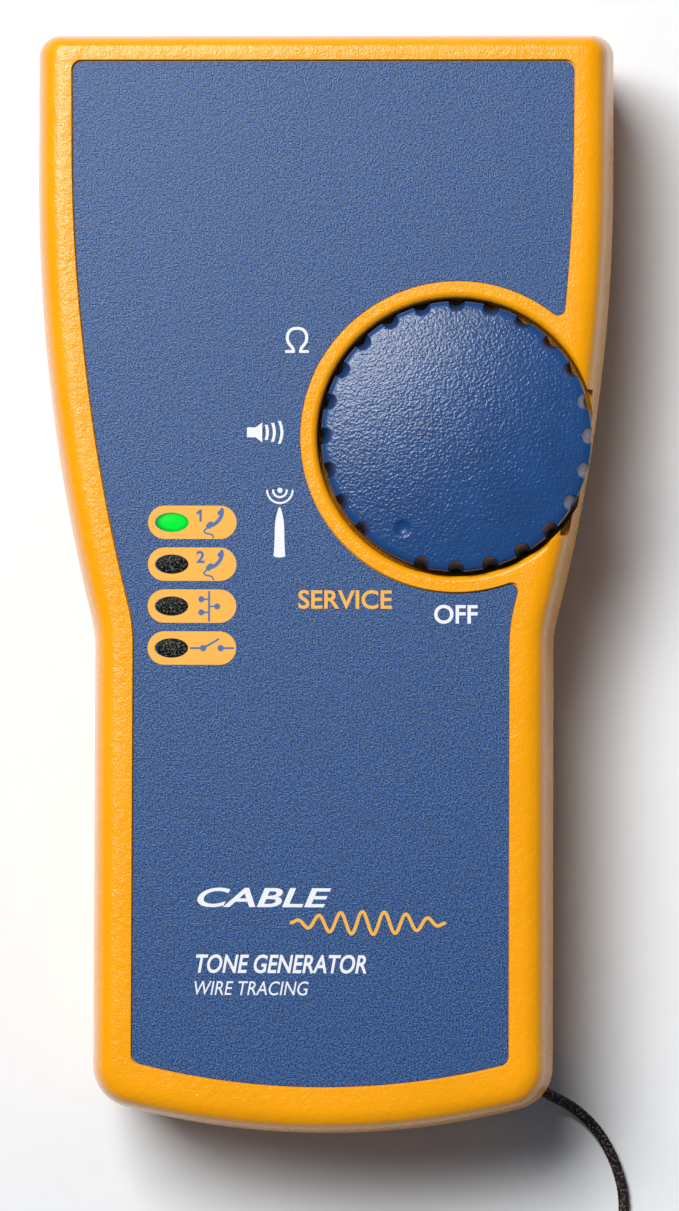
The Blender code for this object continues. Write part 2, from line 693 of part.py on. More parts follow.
def make_switch():
    centre = (KNOB_X, KNOB_Y)
    inner = SWITCH_R - SWITCH_WALL
    base = [
        (0, SWITCH_BASE_Z), (SWITCH_R, SWITCH_BASE_Z), (SWITCH_R, SWITCH_LID_Z - GAP),
        (inner, SWITCH_LID_Z - GAP), (inner, SWITCH_FLOOR_Z), (0, SWITCH_FLOOR_Z),
    ]
    turned("switch_base", BLACK, base, centre)
    lid = [
        (LID_HOLE_R, SWITCH_LID_Z), (SWITCH_R, SWITCH_LID_Z), (SWITCH_R, SWITCH_TOP_Z),
        (LID_HOLE_R, SWITCH_TOP_Z),
    ]
    turned("switch_cover", GREY, lid, centre, closed=True)
    make_rotor()
    wiper = arc(KNOB_X, KNOB_Y, WIPER_REACH, 150, 210, 6)
    wiper += arc(KNOB_X, KNOB_Y, WIPER_NECK, 210, 330, 8)
    wiper += arc(KNOB_X, KNOB_Y, WIPER_REACH, -30, 30, 6)
    wiper += arc(KNOB_X, KNOB_Y, WIPER_NECK, 30, 150, 8)
    prism("switch_wiper", GOLD, wiper, WIPER_LOW_Z, WIPER_HIGH_Z)
    leaf = arc(KNOB_X, KNOB_Y, inner - 0.3, 50, 130, 10)
    leaf += arc(KNOB_X, KNOB_Y, inner - 0.7, 130, 98, 4)
    leaf += [(KNOB_X, KNOB_Y + ROTOR_R + 0.5)]
    leaf += arc(KNOB_X, KNOB_Y, inner - 0.7, 82, 50, 4)
    prism("detent_spring", STEEL, leaf, LEAF_LOW_Z, LEAF_HIGH_Z)


# ---------------------------------------------------------------- board and its parts

def make_board():
    right = [(x, y) for x, y in case_outline(BOARD_INSET) if x > 0]
    right = [(x, y) for x, y in right if BOARD_LOW_Y < y < BOARD_HIGH_Y]
    right.sort(key=lambda point: point[1])
    right = [(right[0][0], BOARD_LOW_Y), *right, (right[-1][0], BOARD_HIGH_Y)]
    outline = right + [(-x, y) for x, y in right[::-1]]
    board = prism("main_board", GREEN, outline, BOARD_LOW_Z, BOARD_HIGH_Z)
    for i, (x, y) in enumerate(boss_places()[:2]):
        cut(board, disc(f"board_notch_{i}", None, FRONT_BOSS_R + 0.4, x, y, 0, OVER_Z, 20))
    for i, (x, y) in enumerate(BOARD_BOSSES):
        cut(board, disc(f"board_hole_{i}", None, BOARD_HOLE_R, x, y, 0, OVER_Z, 12))


def make_lamps():
    for i, (x, y) in enumerate(lamp_places(), 1):
        lamp = box(
            f"status_led_{i}", WHITE, (x - LED_HALF_X, y - LED_HALF_Y, PART_LOW_Z),
            (x + LED_HALF_X, y + LED_HALF_Y, LED_TOP_Z),
        )
        soften(lamp, 0.25, 1)
        pipe = LIT_LENS if i == 1 else LENS
        face = ellipse(x, y, LAMP_HALF_X, LAMP_HALF_Y, 20)
        prism(f"light_pipe_{i}", pipe, face, LED_TOP_Z + GAP, PANEL_Z)


def make_modular_jack(name, x, half, depth, mouth, contacts):
    """A board-mounted modular socket hanging under the board, with its comb of contacts."""
    back = SOCKET_FACE_Y - depth
    mouth_half, mouth_low, mouth_high = mouth
    jack = box(
        f"{name}_jack", BLACK, (x - half, back, SOCKET_LOW_Z), (x + half, SOCKET_FACE_Y, HANG_Z)
    )
    mouth_back = SOCKET_FACE_Y - MOUTH_DEPTH
    cut(jack, box(
        f"{name}_mouth", None, (x - mouth_half, mouth_back, mouth_low),
        (x + mouth_half, SOCKET_FACE_Y + 2, mouth_high),
    ))
    cut(jack, box(
        f"{name}_latch_way", None, (x - LATCH_HALF_X, mouth_back + 1.5, mouth_low - LATCH_DROP),
        (x + LATCH_HALF_X, SOCKET_FACE_Y + 2, mouth_low + 1),
    ))
    reach = (contacts - 1) / 2 * CONTACT_PITCH
    edge = reach + COMB_EDGE
    root, tip = mouth_back + CONTACT_ROOT, mouth_back + CONTACT_TIP
    comb = [(x - edge, mouth_back + GAP), (x - edge, root)]
    for i in range(contacts):
        left = x - reach + i * CONTACT_PITCH - CONTACT_HALF
        right = left + 2 * CONTACT_HALF
        comb += [(left, root), (left, tip), (right, tip), (right, root)]
    comb += [(x + edge, root), (x + edge, mouth_back + GAP)]
    low = mouth_high - CONTACT_DROP
    prism(f"{name}_contacts", GOLD, comb[::-1], low, low + CONTACT_THICK)


def make_coax(x, half):
    """Threaded coaxial socket in a round well of its own block."""
    housing = box(
        "coax_housing", BLACK, (x - half, COAX_WELL_Y - 1.7, SOCKET_LOW_Z - 1.0),
        (x + half, SOCKET_FACE_Y - 3.0, HANG_Z),
    )
    unite(housing, box(
        "coax_front", None, (x - half, COAX_WELL_Y, SOCKET_LOW_Z),
        (x + half, SOCKET_FACE_Y, HANG_Z),
    ))

    def along(radius, start, stop, sides):
        return radius, (x, COAX_WELL_Y + start, COAX_Z), (x, COAX_WELL_Y + stop, COAX_Z), sides

    cut(housing, rod("coax_well", None, *along(COAX_WELL_R, 0, 13, 32)))
    barrel = rod("coax_barrel", STEEL, *along(COAX_THREAD_R, GAP, 9.4, 24))
    cut(barrel, rod("coax_bore", None, *along(COAX_BORE_R, 1.5, 13, 20)))
    insulator = rod("coax_insulator", WHITE, *along(COAX_BORE_R - 0.4, 1.9, 8.4, 20))
    cut(insulator, rod("coax_pin_hole", None, *along(COAX_PIN_R, 4.0, 13, 12)))


def make_components():
    """The larger parts on the board: two chips and a crystal above it, the rest below."""
    box("microcontroller", BLACK, (-14.0, 33.0, PART_LOW_Z), (-4.0, 43.0, PART_LOW_Z + 1.5))
    box("line_driver", BLACK, (-26.0, 15.0, PART_LOW_Z), (-16.0, 21.0, PART_LOW_Z + 1.8))
    box("crystal", STEEL, (-9.0, 24.5, PART_LOW_Z), (2.0, 28.5, PART_LOW_Z + 3.5))
    box("coupling_transformer", GREY, (-27.0, 12.0, 5.2), (-13.5, 26.0, HANG_Z))
    box("relay", BLACK, (11.5, 26.5, 6.4), (21.5, 41.5, HANG_Z))
    radius, low, groove = 4.0, 5.0, 15.0
    turned("capacitor", CELL, [
        (0, low), (radius - 0.4, low), (radius, low + 0.4), (radius, groove - 0.4),
        (radius - 0.3, groove), (radius, groove + 0.4), (radius, HANG_Z), (0, HANG_Z),
    ], (2.0, 40.0), 20)


# ---------------------------------------------------------------- battery

def make_battery():
    middle_z = (CELL_LOW_Z + CELL_HIGH_Z) / 2
    low = (-CELL_HALF_X, CELL_LOW_Y, CELL_LOW_Z)
    high = (CELL_HALF_X, CELL_HIGH_Y, CELL_HIGH_Z)
    cell = box("battery_9v", CELL, low, high)
    soften(cell, CELL_ROUND, 2)
    stud_top = CELL_HIGH_Y + STUD_LENGTH
    for name, x, radius in (("male", -STUD_X, MALE_STUD_R), ("female", STUD_X, FEMALE_STUD_R)):
        unite(cell, rod(
            f"{name}_stud", None, radius, (x, CELL_HIGH_Y - 1, middle_z),
            (x, stud_top, middle_z), 16,
        ))
    snap_low = stud_top + GAP
    snap = box(
        "battery_snap", BLACK, (-SNAP_HALF_X, snap_low, middle_z - 5.5),
        (SNAP_HALF_X, snap_low + SNAP_THICK, middle_z + 4.8),
    )
    soften(snap, 0.6, 1)
    # Each lead dips, then climbs to the board behind the snap.
    lead_y = snap_low + SNAP_THICK + GAP
    for name, finish, x in (("red", RED, 4.5), ("black", BLACK, 7.5)):
        tube(f"battery_lead_{name}", finish, [
            (x, lead_y, 9.0), (x, lead_y + 1.4, 8.9), (x + 0.2, lead_y + 3.0, 9.6),
            (x + 0.3, lead_y + 3.9, 11.2), (x + 0.3, lead_y + 4.2, 13.4),
            (x + 0.3, lead_y + 4.2, HANG_Z),
        ], LEAD_D)


def make_door():
    """Battery door: two tabs hook into the floor, one screw holds the other end."""
    door = box(
        "battery_door", YELLOW, (-DOOR_HALF_X, DOOR_LOW_Y, DOOR_LOW_Z),
        (DOOR_HALF_X, DOOR_HIGH_Y, DOOR_HIGH_Z),
    )
    for side in (-1, 1):
        x = side * DOOR_TAB_X
        half = DOOR_TAB_HALF
        inner_y = DOOR_LOW_Y + 1.6
        unite(door, box(
            f"tab_foot_{side}", None, (x - half, DOOR_LOW_Y + 0.2, DOOR_HIGH_Z - 0.4),
            (x + half, inner_y, TAB_HIGH_Z + 0.1),
        ))
        unite(door, box(
            f"tab_hook_{side}", None, (x - half, DOOR_LOW_Y - TAB_REACH, TAB_LOW_Z),
            (x + half, inner_y - 0.1, TAB_HIGH_Z),
        ))
    unite(door, disc(
        "door_boss", None, DOOR_BOSS_R, 0, DOOR_SCREW_Y, DOOR_HIGH_Z - 0.4, DOOR_BOSS_Z, 24
    ))
    cut(door, disc(
        "door_head_hole", None, DOOR_HEAD_HOLE_R, 0, DOOR_SCREW_Y, UNDER_Z, DOOR_HEAD_SEAT_Z, 20
    ))
    cut(door, disc(
        "door_shank_hole", None, SCREW_SHANK_R + GAP, 0, DOOR_SCREW_Y, 0, DOOR_FOOT_Z, 16
    ))
    make_screw(
        "door_screw", 0, DOOR_SCREW_Y, DOOR_HEAD_SEAT_Z - 1.6, DOOR_HEAD_SEAT_Z - GAP,
        DOOR_SCREW_TIP_Z, SCREW_HEAD_R, SCREW_SHANK_R,
    )
    low, high = FOAM_PLAN
    box("door_foam", FOAM, (*low, DOOR_HIGH_Z + 0.05), (*high, CELL_LOW_Z - 0.25))


# ---------------------------------------------------------------- lanyard

def make_lanyard():
    disc("lanyard_pin", STEEL, PIN_R, PIN_X, PIN_Y, PIN_LOW_Z, PIN_HIGH_Z, 16)
    inner = PIN_R + GAP
    outer = inner + CORD_D
    low, high = HITCH_Z - CORD_D, HITCH_Z + CORD_D
    corner = HITCH_ROUND
    hitch = [
        (inner, low + corner), (inner + corner, low), (outer - corner, low),
        (outer, low + corner), (outer, high - corner), (outer - corner, high),
        (inner + corner, high), (inner, high - corner),
    ]
    turned("lanyard_hitch", CORD, hitch, (PIN_X, PIN_Y), 20, closed=True)
    tube("lanyard_cord", CORD, CORD_ROUTE, CORD_D)
    soften(box("lanyard_ferrule", STEEL, FERRULE_LOW, FERRULE_HIGH), 0.5, 2)
    coil = arc(COIL_MIDDLE_R, COIL_LIFT + COIL_HALF, COIL_HALF, 0, 315, 7)
    turned("lanyard_coil", CORD, coil, (COIL_X, COIL_Y), 32, closed=True)


clear_scene()
make_front_shell()
make_rear_shell()
make_panel()
make_screws()
make_knob()
make_switch()
make_board()
make_lamps()
network, coax, phone = (place[1:] for place in SOCKETS)
make_modular_jack("network", *network, *NETWORK_BODY, 8)
make_modular_jack("phone", *phone, *PHONE_BODY, 6)
make_coax(*coax)
make_components()
make_battery()
make_door()
make_lanyard()
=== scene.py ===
"""Looks of the handheld cable tone generator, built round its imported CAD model.

Sizes are in millimetres; the helper functions turn them into metres. Places come from the CAD
nodes through span(), and each detailed piece stands for the CAD node that it is built on.
"""

from math import acos, asin, atan2, cos, degrees, hypot, pi, radians, sin, sqrt

import bmesh
import bpy
from mathutils import Matrix, Vector, noise


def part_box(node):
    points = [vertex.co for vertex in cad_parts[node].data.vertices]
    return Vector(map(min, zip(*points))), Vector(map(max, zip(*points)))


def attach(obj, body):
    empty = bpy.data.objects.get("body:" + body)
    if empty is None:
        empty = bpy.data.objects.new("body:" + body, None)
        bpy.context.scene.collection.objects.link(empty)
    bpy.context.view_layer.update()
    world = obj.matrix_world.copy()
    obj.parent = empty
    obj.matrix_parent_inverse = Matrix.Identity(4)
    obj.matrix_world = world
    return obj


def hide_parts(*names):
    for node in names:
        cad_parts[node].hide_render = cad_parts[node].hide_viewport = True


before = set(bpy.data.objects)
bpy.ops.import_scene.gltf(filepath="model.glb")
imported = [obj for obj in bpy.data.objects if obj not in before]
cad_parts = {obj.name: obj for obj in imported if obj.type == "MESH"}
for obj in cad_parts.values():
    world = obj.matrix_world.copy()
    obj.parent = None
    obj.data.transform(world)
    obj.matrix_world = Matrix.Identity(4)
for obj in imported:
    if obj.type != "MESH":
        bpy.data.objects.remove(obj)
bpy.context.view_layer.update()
MM = 0.001


def span(node):
    """Lowest and highest corner of a CAD node."""
    low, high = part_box(node)
    return low / MM, high / MM


def middle(node):
    low, high = span(node)
    return (low + high) / 2


# Driving sizes, most of them read from the CAD model.
SHELL_LOW, SHELL_HIGH = span("front_shell")
HALF_WIDTH, TOP_END, BEZEL_Z = SHELL_HIGH
BOTTOM_END = SHELL_LOW.y
PARTING_Z = span("rear_shell")[1].z
PANEL_Z = span("front_panel")[1].z
HALF_GRIP = 29.45
FLANK_R = 230.0
FLANK_START_Y = 52.0
WAIST_R = 16.0
BOTTOM_ARC_R = 100.0
TOP_CORNER_R = 2.8
BOTTOM_CORNER_R = 5.5

KNOB = middle("selector_knob")
KNOB_LOW, KNOB_HIGH = span("selector_knob")
KNOB_R = (KNOB_HIGH.x - KNOB_LOW.x) / 2
WELL_R = KNOB_R + 0.5
RING_R = WELL_R + 1.8
WELL_FLOOR_Z = KNOB_LOW.z - 0.3
WELL_UNDER_Z = WELL_FLOOR_Z - 1.2
POINTER_ANGLE = -120.0
NOTCH_PITCH = 15.0
NOTCH_R = 1.05
THUMB_LOW_Y = 5.6
THUMB_HIGH_Y = 24.0
THUMB_X = 30.0

CASE_SCREWS = [f"case_screw_{i}" for i in (1, 2, 3, 4)]
BOARD_BOSSES = [middle("board_screw_1").xy, middle("board_screw_2").xy]
CASE_BOSSES = [middle(name).xy for name in CASE_SCREWS]
LENSES = [f"light_pipe_{i}" for i in (1, 2, 3, 4)]
LAMPS = [middle(name) for name in LENSES]

CORD_D = 1.4
CORD_ROUTE = [
    (26.6, -64.6, 6.2), (27.6, -65.3, 5.9), (28.8, -66.1, 5.0), (30.2, -66.9, 3.6),
    (31.4, -67.6, 2.4), (32.7, -68.5, 1.5), (34.2, -69.8, 1.0), (35.6, -71.4, 0.85),
    (36.7, -73.1, 0.8), (37.6, -74.9, 0.8), (38.3, -76.8, 0.8), (38.8, -78.8, 0.8),
    (39.0, -80.9, 0.8), (39.0, -83.0, 0.8),
]


# ---------------------------------------------------------------- outlines

def smooth_line(points, steps):
    """A Catmull-Rom curve through the points, with this many steps between two of them."""
    points = [Vector(p) for p in points]
    padded = [2 * points[0] - points[1], *points, 2 * points[-1] - points[-2]]
    line = []
    for a, b, c, d in zip(padded, padded[1:], padded[2:], padded[3:]):
        for step in range(steps):
            t = step / steps
            line.append(
                0.5 * (2 * b + (c - a) * t + (2 * a - 5 * b + 4 * c - d) * t**2
                       + (3 * b - a - 3 * c + d) * t**3)
            )
    return [*line, points[-1]]


def smooth_plan(points, steps):
    return [p.xy for p in smooth_line([(x, y, 0) for x, y in points], steps)]


def arc(cx, cy, radius, start, stop, steps):
    """Points on an arc from one angle in degrees to another, both ends included."""
    angles = [radians(start + (stop - start) * i / steps) for i in range(steps + 1)]
    return [(cx + radius * cos(a), cy + radius * sin(a)) for a in angles]


def circle(cx, cy, radius, sides):
    return arc(cx, cy, radius, 0, 360, sides)[:-1]


def ellipse(centre, half_x, half_y, sides):
    return [(centre.x + x * half_x, centre.y + y * half_y) for x, y in circle(0, 0, 1, sides)]


def rectangle(low, high, inset=0.0):
    left, right, foot, head = low[0] + inset, high[0] - inset, low[1] + inset, high[1] - inset
    return [(left, foot), (right, foot), (right, head), (left, head)]


def rounded_box(low, high, radius, inset=0.0, steps=8):
    """A rectangle moved inwards by an inset, with round corners."""
    left, foot = low[0] + inset + radius, low[1] + inset + radius
    right, head = high[0] - inset - radius, high[1] - inset - radius
    points = []
    for i, (x, y) in enumerate(((right, head), (left, head), (left, foot), (right, foot))):
        points += arc(x, y, radius, 90 * i, 90 * i + 90, steps)
    return points


def bearing_of(way):
    return degrees(atan2(way.y, way.x))


def mirrored(points):
    """The points, then the same ones at -x in the other order; the last one lies on x = 0."""
    return points + [(-x, y) for x, y in points[-2::-1]]


def case_outline(side, top, bottom, corners, fine=4):
    """The case's plan outline moved inwards by side, top and bottom at its flanks and two ends."""
    corner = corners[0]
    right = arc(HALF_WIDTH - side - corner, TOP_END - top - corner, corner, 90, 0, 3 * fine)
    waist_x = HALF_GRIP + WAIST_R
    bend = degrees(acos((waist_x - HALF_WIDTH + FLANK_R) / (FLANK_R + WAIST_R)))
    waist_y = FLANK_START_Y - (FLANK_R + WAIST_R) * sin(radians(bend))
    flank_x = HALF_WIDTH - FLANK_R
    right += arc(flank_x, FLANK_START_Y, FLANK_R - side, 0, -bend, 14 * fine)
    right += arc(waist_x, waist_y, WAIST_R + side, 180 - bend, 180, 3 * fine)
    corner = corners[1]
    end_y = BOTTOM_END + BOTTOM_ARC_R
    end_r = BOTTOM_ARC_R - bottom
    corner_x = HALF_GRIP - side - corner
    drop = sqrt((end_r - corner) ** 2 - corner_x**2)
    turn = degrees(asin(corner_x / (end_r - corner))) - 90
    right += arc(corner_x, end_y - drop, corner, 0, turn, 4 * fine)
    right += arc(0, end_y, end_r, turn, -90, 10 * fine)[1:]
    return mirrored(right)[::-1]


# The printed label and the recess that it lies in, as distances inside the case's outline.
LABEL_INSETS = (5.86, 5.2, 6.8)
RECESS_INSETS = (5.78, 5.04, 6.72)
LABEL_CORNER = 1.2
LABEL_FILLET = 0.9
RING_CLEARANCE = 0.25


def head_spread(y):
    """How much further out the label reaches towards the corners of the wide head."""
    share = min(max((y - 22.0) / 42.0, 0.0), 1.0)
    return 0.5 * share**2 * (3 - 2 * share)


def label_outline(insets, grow, ring_gap):
    """The label's outline grown by a little: the case's outline with a bite for the knob's ring."""
    side, top, bottom = (inset - grow for inset in insets)
    base = case_outline(side, top, bottom, (LABEL_CORNER + grow,) * 2)
    fillet = LABEL_FILLET + grow
    ring = RING_R + RING_CLEARANCE + ring_gap - grow
    inner = case_outline(side + fillet, top + fillet, bottom + fillet, (LABEL_CORNER,) * 2)
    reach = ring + fillet
    hub = KNOB.xy
    meets = []
    for a, b in zip(inner, inner[1:] + inner[:1]):
        far_a, far_b = hypot(a[0] - hub.x, a[1] - hub.y), hypot(b[0] - hub.x, b[1] - hub.y)
        if a[0] > 0 and (far_a - reach) * (far_b - reach) < 0:
            share = (reach - far_a) / (far_b - far_a)
            out = Vector((b[1] - a[1], a[0] - b[0])).normalized()
            meets.append((Vector(a).lerp(Vector(b), share), out if out.x > 0 else -out))
    low, high = sorted(meets, key=lambda meet: meet[0].y)
    foot_low, foot_high = low[0] + fillet * low[1], high[0] + fillet * high[1]
    start = next(i for i, p in enumerate(base) if p[0] > 0 and p[1] > foot_high.y)
    stop = max(i for i, p in enumerate(base) if p[0] > 0 and p[1] < foot_low.y and i < start)

    def corner_arc(place, first, last):
        turn = degrees(first.angle_signed(last))
        return arc(place.x, place.y, fillet, bearing_of(first), bearing_of(first) - turn, 10)

    enter = corner_arc(low[0], low[1], hub - low[0])
    leave = corner_arc(high[0], hub - high[0], high[1])
    bite_start, bite_stop = bearing_of(low[0] - hub) + 360, bearing_of(high[0] - hub)
    bite = arc(hub.x, hub.y, ring, bite_start, bite_stop, 120)[1:-1]
    points = base[start:] + base[:stop + 1] + enter + bite + leave
    return [(x + (1 if x > 0 else -1) * head_spread(y), y) for x, y in points]


def lift(outline, z):
    return [(x, y, z) for x, y in outline]


def upright(outline, y):
    """An outline of (x, z) pairs as a ring that faces along Y."""
    return [(x, y, z) for x, z in outline]


# ---------------------------------------------------------------- solids

SHARP = 32.0


def smoothed(mesh, sharp):
    mesh.shade_smooth()
    mesh.set_sharp_from_angle(angle=radians(sharp))
    return mesh


def linked(name, data):
    obj = bpy.data.objects.new(name, data)
    bpy.context.scene.collection.objects.link(obj)
    return obj


def make_object(name, mesh, paint, sharp=SHARP):
    obj = linked(name, mesh)
    if paint:
        mesh.materials.append(paint)
    smoothed(mesh, sharp)
    return obj


def from_bmesh(name, bm, paint, sharp=SHARP):
    """Turns a bmesh in millimetres into an object in metres."""
    bmesh.ops.remove_doubles(bm, verts=bm.verts, dist=1e-5)
    bmesh.ops.recalc_face_normals(bm, faces=bm.faces)
    bm.transform(Matrix.Scale(MM, 4))
    mesh = bpy.data.meshes.new(name)
    bm.to_mesh(mesh)
    bm.free()
    return make_object(name, mesh, paint, sharp)


def add_band(bm, low, high):
    """The faces between two rings of equally many corners."""
    for i in range(len(low)):
        j = (i + 1) % len(low)
        bm.faces.new((low[i], low[j], high[j], high[i]))


def add_rings(bm, rings):
    """Joins rings of equally many points into a closed skin."""
    made = [[bm.verts.new(point) for point in ring] for ring in rings]
    for low, high in zip(made, made[1:]):
        add_band(bm, low, high)
    bm.faces.new(made[0])
    bm.faces.new(made[-1])


def add_flat(bm, outline, low, high):
    add_rings(bm, [lift(outline, low), lift(outline, high)])


def loft(name, paint, rings, sharp=SHARP):
    bm = bmesh.new()
    add_rings(bm, rings)
    return from_bmesh(name, bm, paint, sharp)


def prism(name, paint, outline, low, high):
    return loft(name, paint, [lift(outline, low), lift(outline, high)])


def disc(name, radius, place, low, high, sides=40):
    return prism(name, None, circle(*place.xy, radius, sides), low, high)


def box(name, paint, low, high, radius=0.0, segments=2):
    """A block, with rounded edges where a radius is given."""
    bm = bmesh.new()
    size = Vector(high) - Vector(low)
    place = Matrix.Translation((Vector(high) + Vector(low)) / 2) @ Matrix.Diagonal((*size, 1.0))
    bmesh.ops.create_cube(bm, size=1.0, matrix=place)
    if radius:
        bmesh.ops.bevel(
            bm, geom=bm.edges, offset=radius, segments=segments, profile=0.5,
            affect="EDGES", clamp_overlap=True,
        )
    return from_bmesh(name, bm, paint)


def turned(name, paint, profile, centre, steps=64, axis="Z", sharp=SHARP):
    """A profile of (radius, height) pairs turned about a line along Z or Y through centre."""
    rings = []
    for radius, height in profile:
        plan = circle(0, 0, max(radius, 0.002), steps)
        ring = lift(plan, height) if axis == "Z" else upright(plan, height)
        rings.append([tuple(Vector(p) + Vector(centre)) for p in ring])
    return loft(name, paint, rings, sharp=sharp)


def bead(radius, height, size, steps=6):
    """Profile points of a cutter's flare, which leaves a rounded edge at that height."""
    turns = [radians(90 * i / steps) for i in range(steps + 1)]
    return [(radius + size * (1 - cos(a)), height - size + size * sin(a) + 0.01) for a in turns]


def remove(objects):
    for obj in objects:
        bpy.data.objects.remove(obj, do_unlink=True)


def evaluated_mesh(obj):
    graph = bpy.context.evaluated_depsgraph_get()
    return bpy.data.meshes.new_from_object(obj.evaluated_get(graph))


def carve(target, cutters, operation="DIFFERENCE", sharp=SHARP):
    """Cuts the cutters out of target, or joins them to it, and keeps only the result."""
    for cutter in cutters:
        step = target.modifiers.new(cutter.name, "BOOLEAN")
        step.operation = operation
        step.object = cutter
        step.solver = "EXACT"
    target.data = smoothed(evaluated_mesh(target), sharp)
    target.modifiers.clear()
    remove(cutters)
    return target


def weigh_normals(obj):
    step = obj.modifiers.new("normals", "WEIGHTED_NORMAL")
    step.keep_sharp = True


def settle(obj, body, slot, *nodes):
    """The piece moves with a body and stands for CAD nodes. The slot is not used."""
    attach(obj, body)
    if nodes:
        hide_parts(*nodes)
    return obj


# ---------------------------------------------------------------- materials

def shade(colour, factor):
    return tuple(channel * factor for channel in colour)


class Look:
    """A material being made, with short ways to add nodes to its tree."""

    def __init__(self, name):
        self.material = bpy.data.materials.new(name)
        self.material.use_nodes = True
        self.tree = self.material.node_tree

    def fill(self, node, values):
        """Links each value that is a socket to the node's input of that name, and sets the rest."""
        for name, value in values.items():
            socket = node.inputs[name]
            if isinstance(value, bpy.types.NodeSocket):
                self.tree.links.new(value, socket)
            else:
                socket.default_value = (*value, 1.0) if socket.type == "RGBA" else value

    def add(self, kind, output, values, **settings):
        node = self.tree.nodes.new("ShaderNode" + kind)
        for name, value in settings.items():
            setattr(node, name, value)
        self.fill(node, values)
        return node.outputs[output]

    def place(self):
        return self.add("TexCoord", "Object", {})

    def noise(self, size, detail=2.0, rough=0.5, stretch=None):
        """Noise whose features are about this many millimetres wide."""
        place = self.place()
        if stretch:
            place = self.add("Mapping", "Vector", {"Vector": place, "Scale": stretch})
        return self.add("TexNoise", "Fac", {
            "Vector": place, "Scale": 1.0 / (size * MM), "Detail": detail, "Roughness": rough,
        })

    def remap(self, value, low, high, to_low=0.0, to_high=1.0):
        return self.add("MapRange", "Result", {
            "Value": value, "From Min": low, "From Max": high, "To Min": to_low, "To Max": to_high,
        })

    def blend(self, share, first, second):
        """Mixes two colours, or a socket and a colour, by a share."""
        return self.add("Mix", 2, {"Factor": share, 6: first, 7: second}, data_type="RGBA")

    def vary(self, value, colour, amount):
        """The colour, a little darker or lighter by a value."""
        share = self.remap(value, 0.3, 0.7)
        return self.blend(share, shade(colour, 1 - amount), shade(colour, 1 + amount))

    def finish(self, colour, heights, rough, **others):
        """Fills in the shader. Heights are the bumps, each a value and a height in millimetres."""
        values = {"Base Color": colour, "Roughness": rough}
        for value, height in heights:
            chain = {"Strength": 1.0, "Distance": height * MM, "Height": value}
            if "Normal" in values:
                chain["Normal"] = values["Normal"]
            values["Normal"] = self.add("Bump", "Normal", chain)
        inputs = {"gloss": "Specular IOR Level", "metallic": "Metallic", "sheen": "Sheen Weight",
                  "sheen_rough": "Sheen Roughness", "glow": "Emission Color",
                  "glow_strength": "Emission Strength"}
        values.update({inputs[name]: value for name, value in others.items()})
        self.fill(self.tree.nodes["Principled BSDF"], values)
        return self.material


def moulded(name, colour, rough=0.45, grain=0.25, depth=0.012, vary=0.06, gloss=0.5):
    """Moulded plastic: a spark-eroded grain, faint blotches and a slightly uneven gloss."""
    look = Look(name)
    blotch = look.noise(9.0, 3.0)
    heights = [(look.noise(grain, 2.0, 0.6), depth), (look.noise(grain * 4, 1.0), depth * 1.2)]
    uneven = look.remap(blotch, 0.2, 0.8, rough - 0.04, rough + 0.05)
    return look.finish(look.vary(blotch, colour, vary), heights, uneven, gloss=gloss)


def metal(name, colour, rough=0.28, stretch=(1.0, 1.0, 12.0)):
    """Plated or brushed metal with fine scratches along one axis."""
    look = Look(name)
    lines = look.noise(0.4, 4.0, 0.6, stretch)
    uneven = look.remap(lines, 0.2, 0.8, rough - 0.08, rough + 0.12)
    return look.finish(look.vary(lines, colour, 0.08), [(lines, 0.002)], uneven, metallic=1.0)


def label_film(name, colour):
    """Textured printed film: dense flecks of lighter and darker ink over a fine relief."""
    look = Look(name)
    flecks = look.noise(0.2, 1.0)
    tone = look.blend(look.remap(flecks, 0.36, 0.66), shade(colour, 0.2), shade(colour, 2.15))
    calm = look.blend(look.remap(look.noise(14.0), 0.3, 0.7, 0.0, 0.12), tone, colour)
    return look.finish(calm, [(flecks, 0.06), (look.noise(0.6, 1.0), 0.03)], 0.37, gloss=0.36)


def pebbled(name, colour):
    """The knob's coarse grain: soft pebbles on its face, which fade out below the rim."""
    look = Look(name)
    level = look.add("SeparateXYZ", "Z", {"Vector": look.add("NewGeometry", "Position", {})})
    face = look.remap(level, 30.6 * MM, 30.72 * MM)
    pebbles = look.remap(look.noise(0.34, 1.0), 0.3, 0.7)
    height = look.add("Math", 0, {0: pebbles, 1: face}, operation="MULTIPLY")
    tone = look.vary(look.noise(6.0), colour, 0.08)
    return look.finish(tone, [(height, 0.034), (look.noise(0.2, 1.0), 0.004)], 0.28, gloss=0.42)


def ink(name, colour):
    """Screen-printed ink with a slight unevenness."""
    look = Look(name)
    grain = look.noise(0.3, 3.0, 0.6)
    return look.finish(look.vary(grain, colour, 0.03), [(grain, 0.004)], 0.55)


def shade_painted_window(name):
    """An unlit lamp's window: near black as painted shade, pale specks as painted glints."""
    look = Look(name)
    grain = look.noise(0.2, 2.0, 0.7)
    # Painted shade and glints: near black for the dark seen through it, pale specks for sparkle.
    tone = look.blend(look.remap(grain, 0.54, 0.6), (0.001, 0.001, 0.001), (0.13, 0.13, 0.12))
    return look.finish(tone, [(grain, 0.02)], 0.45, gloss=0.05)


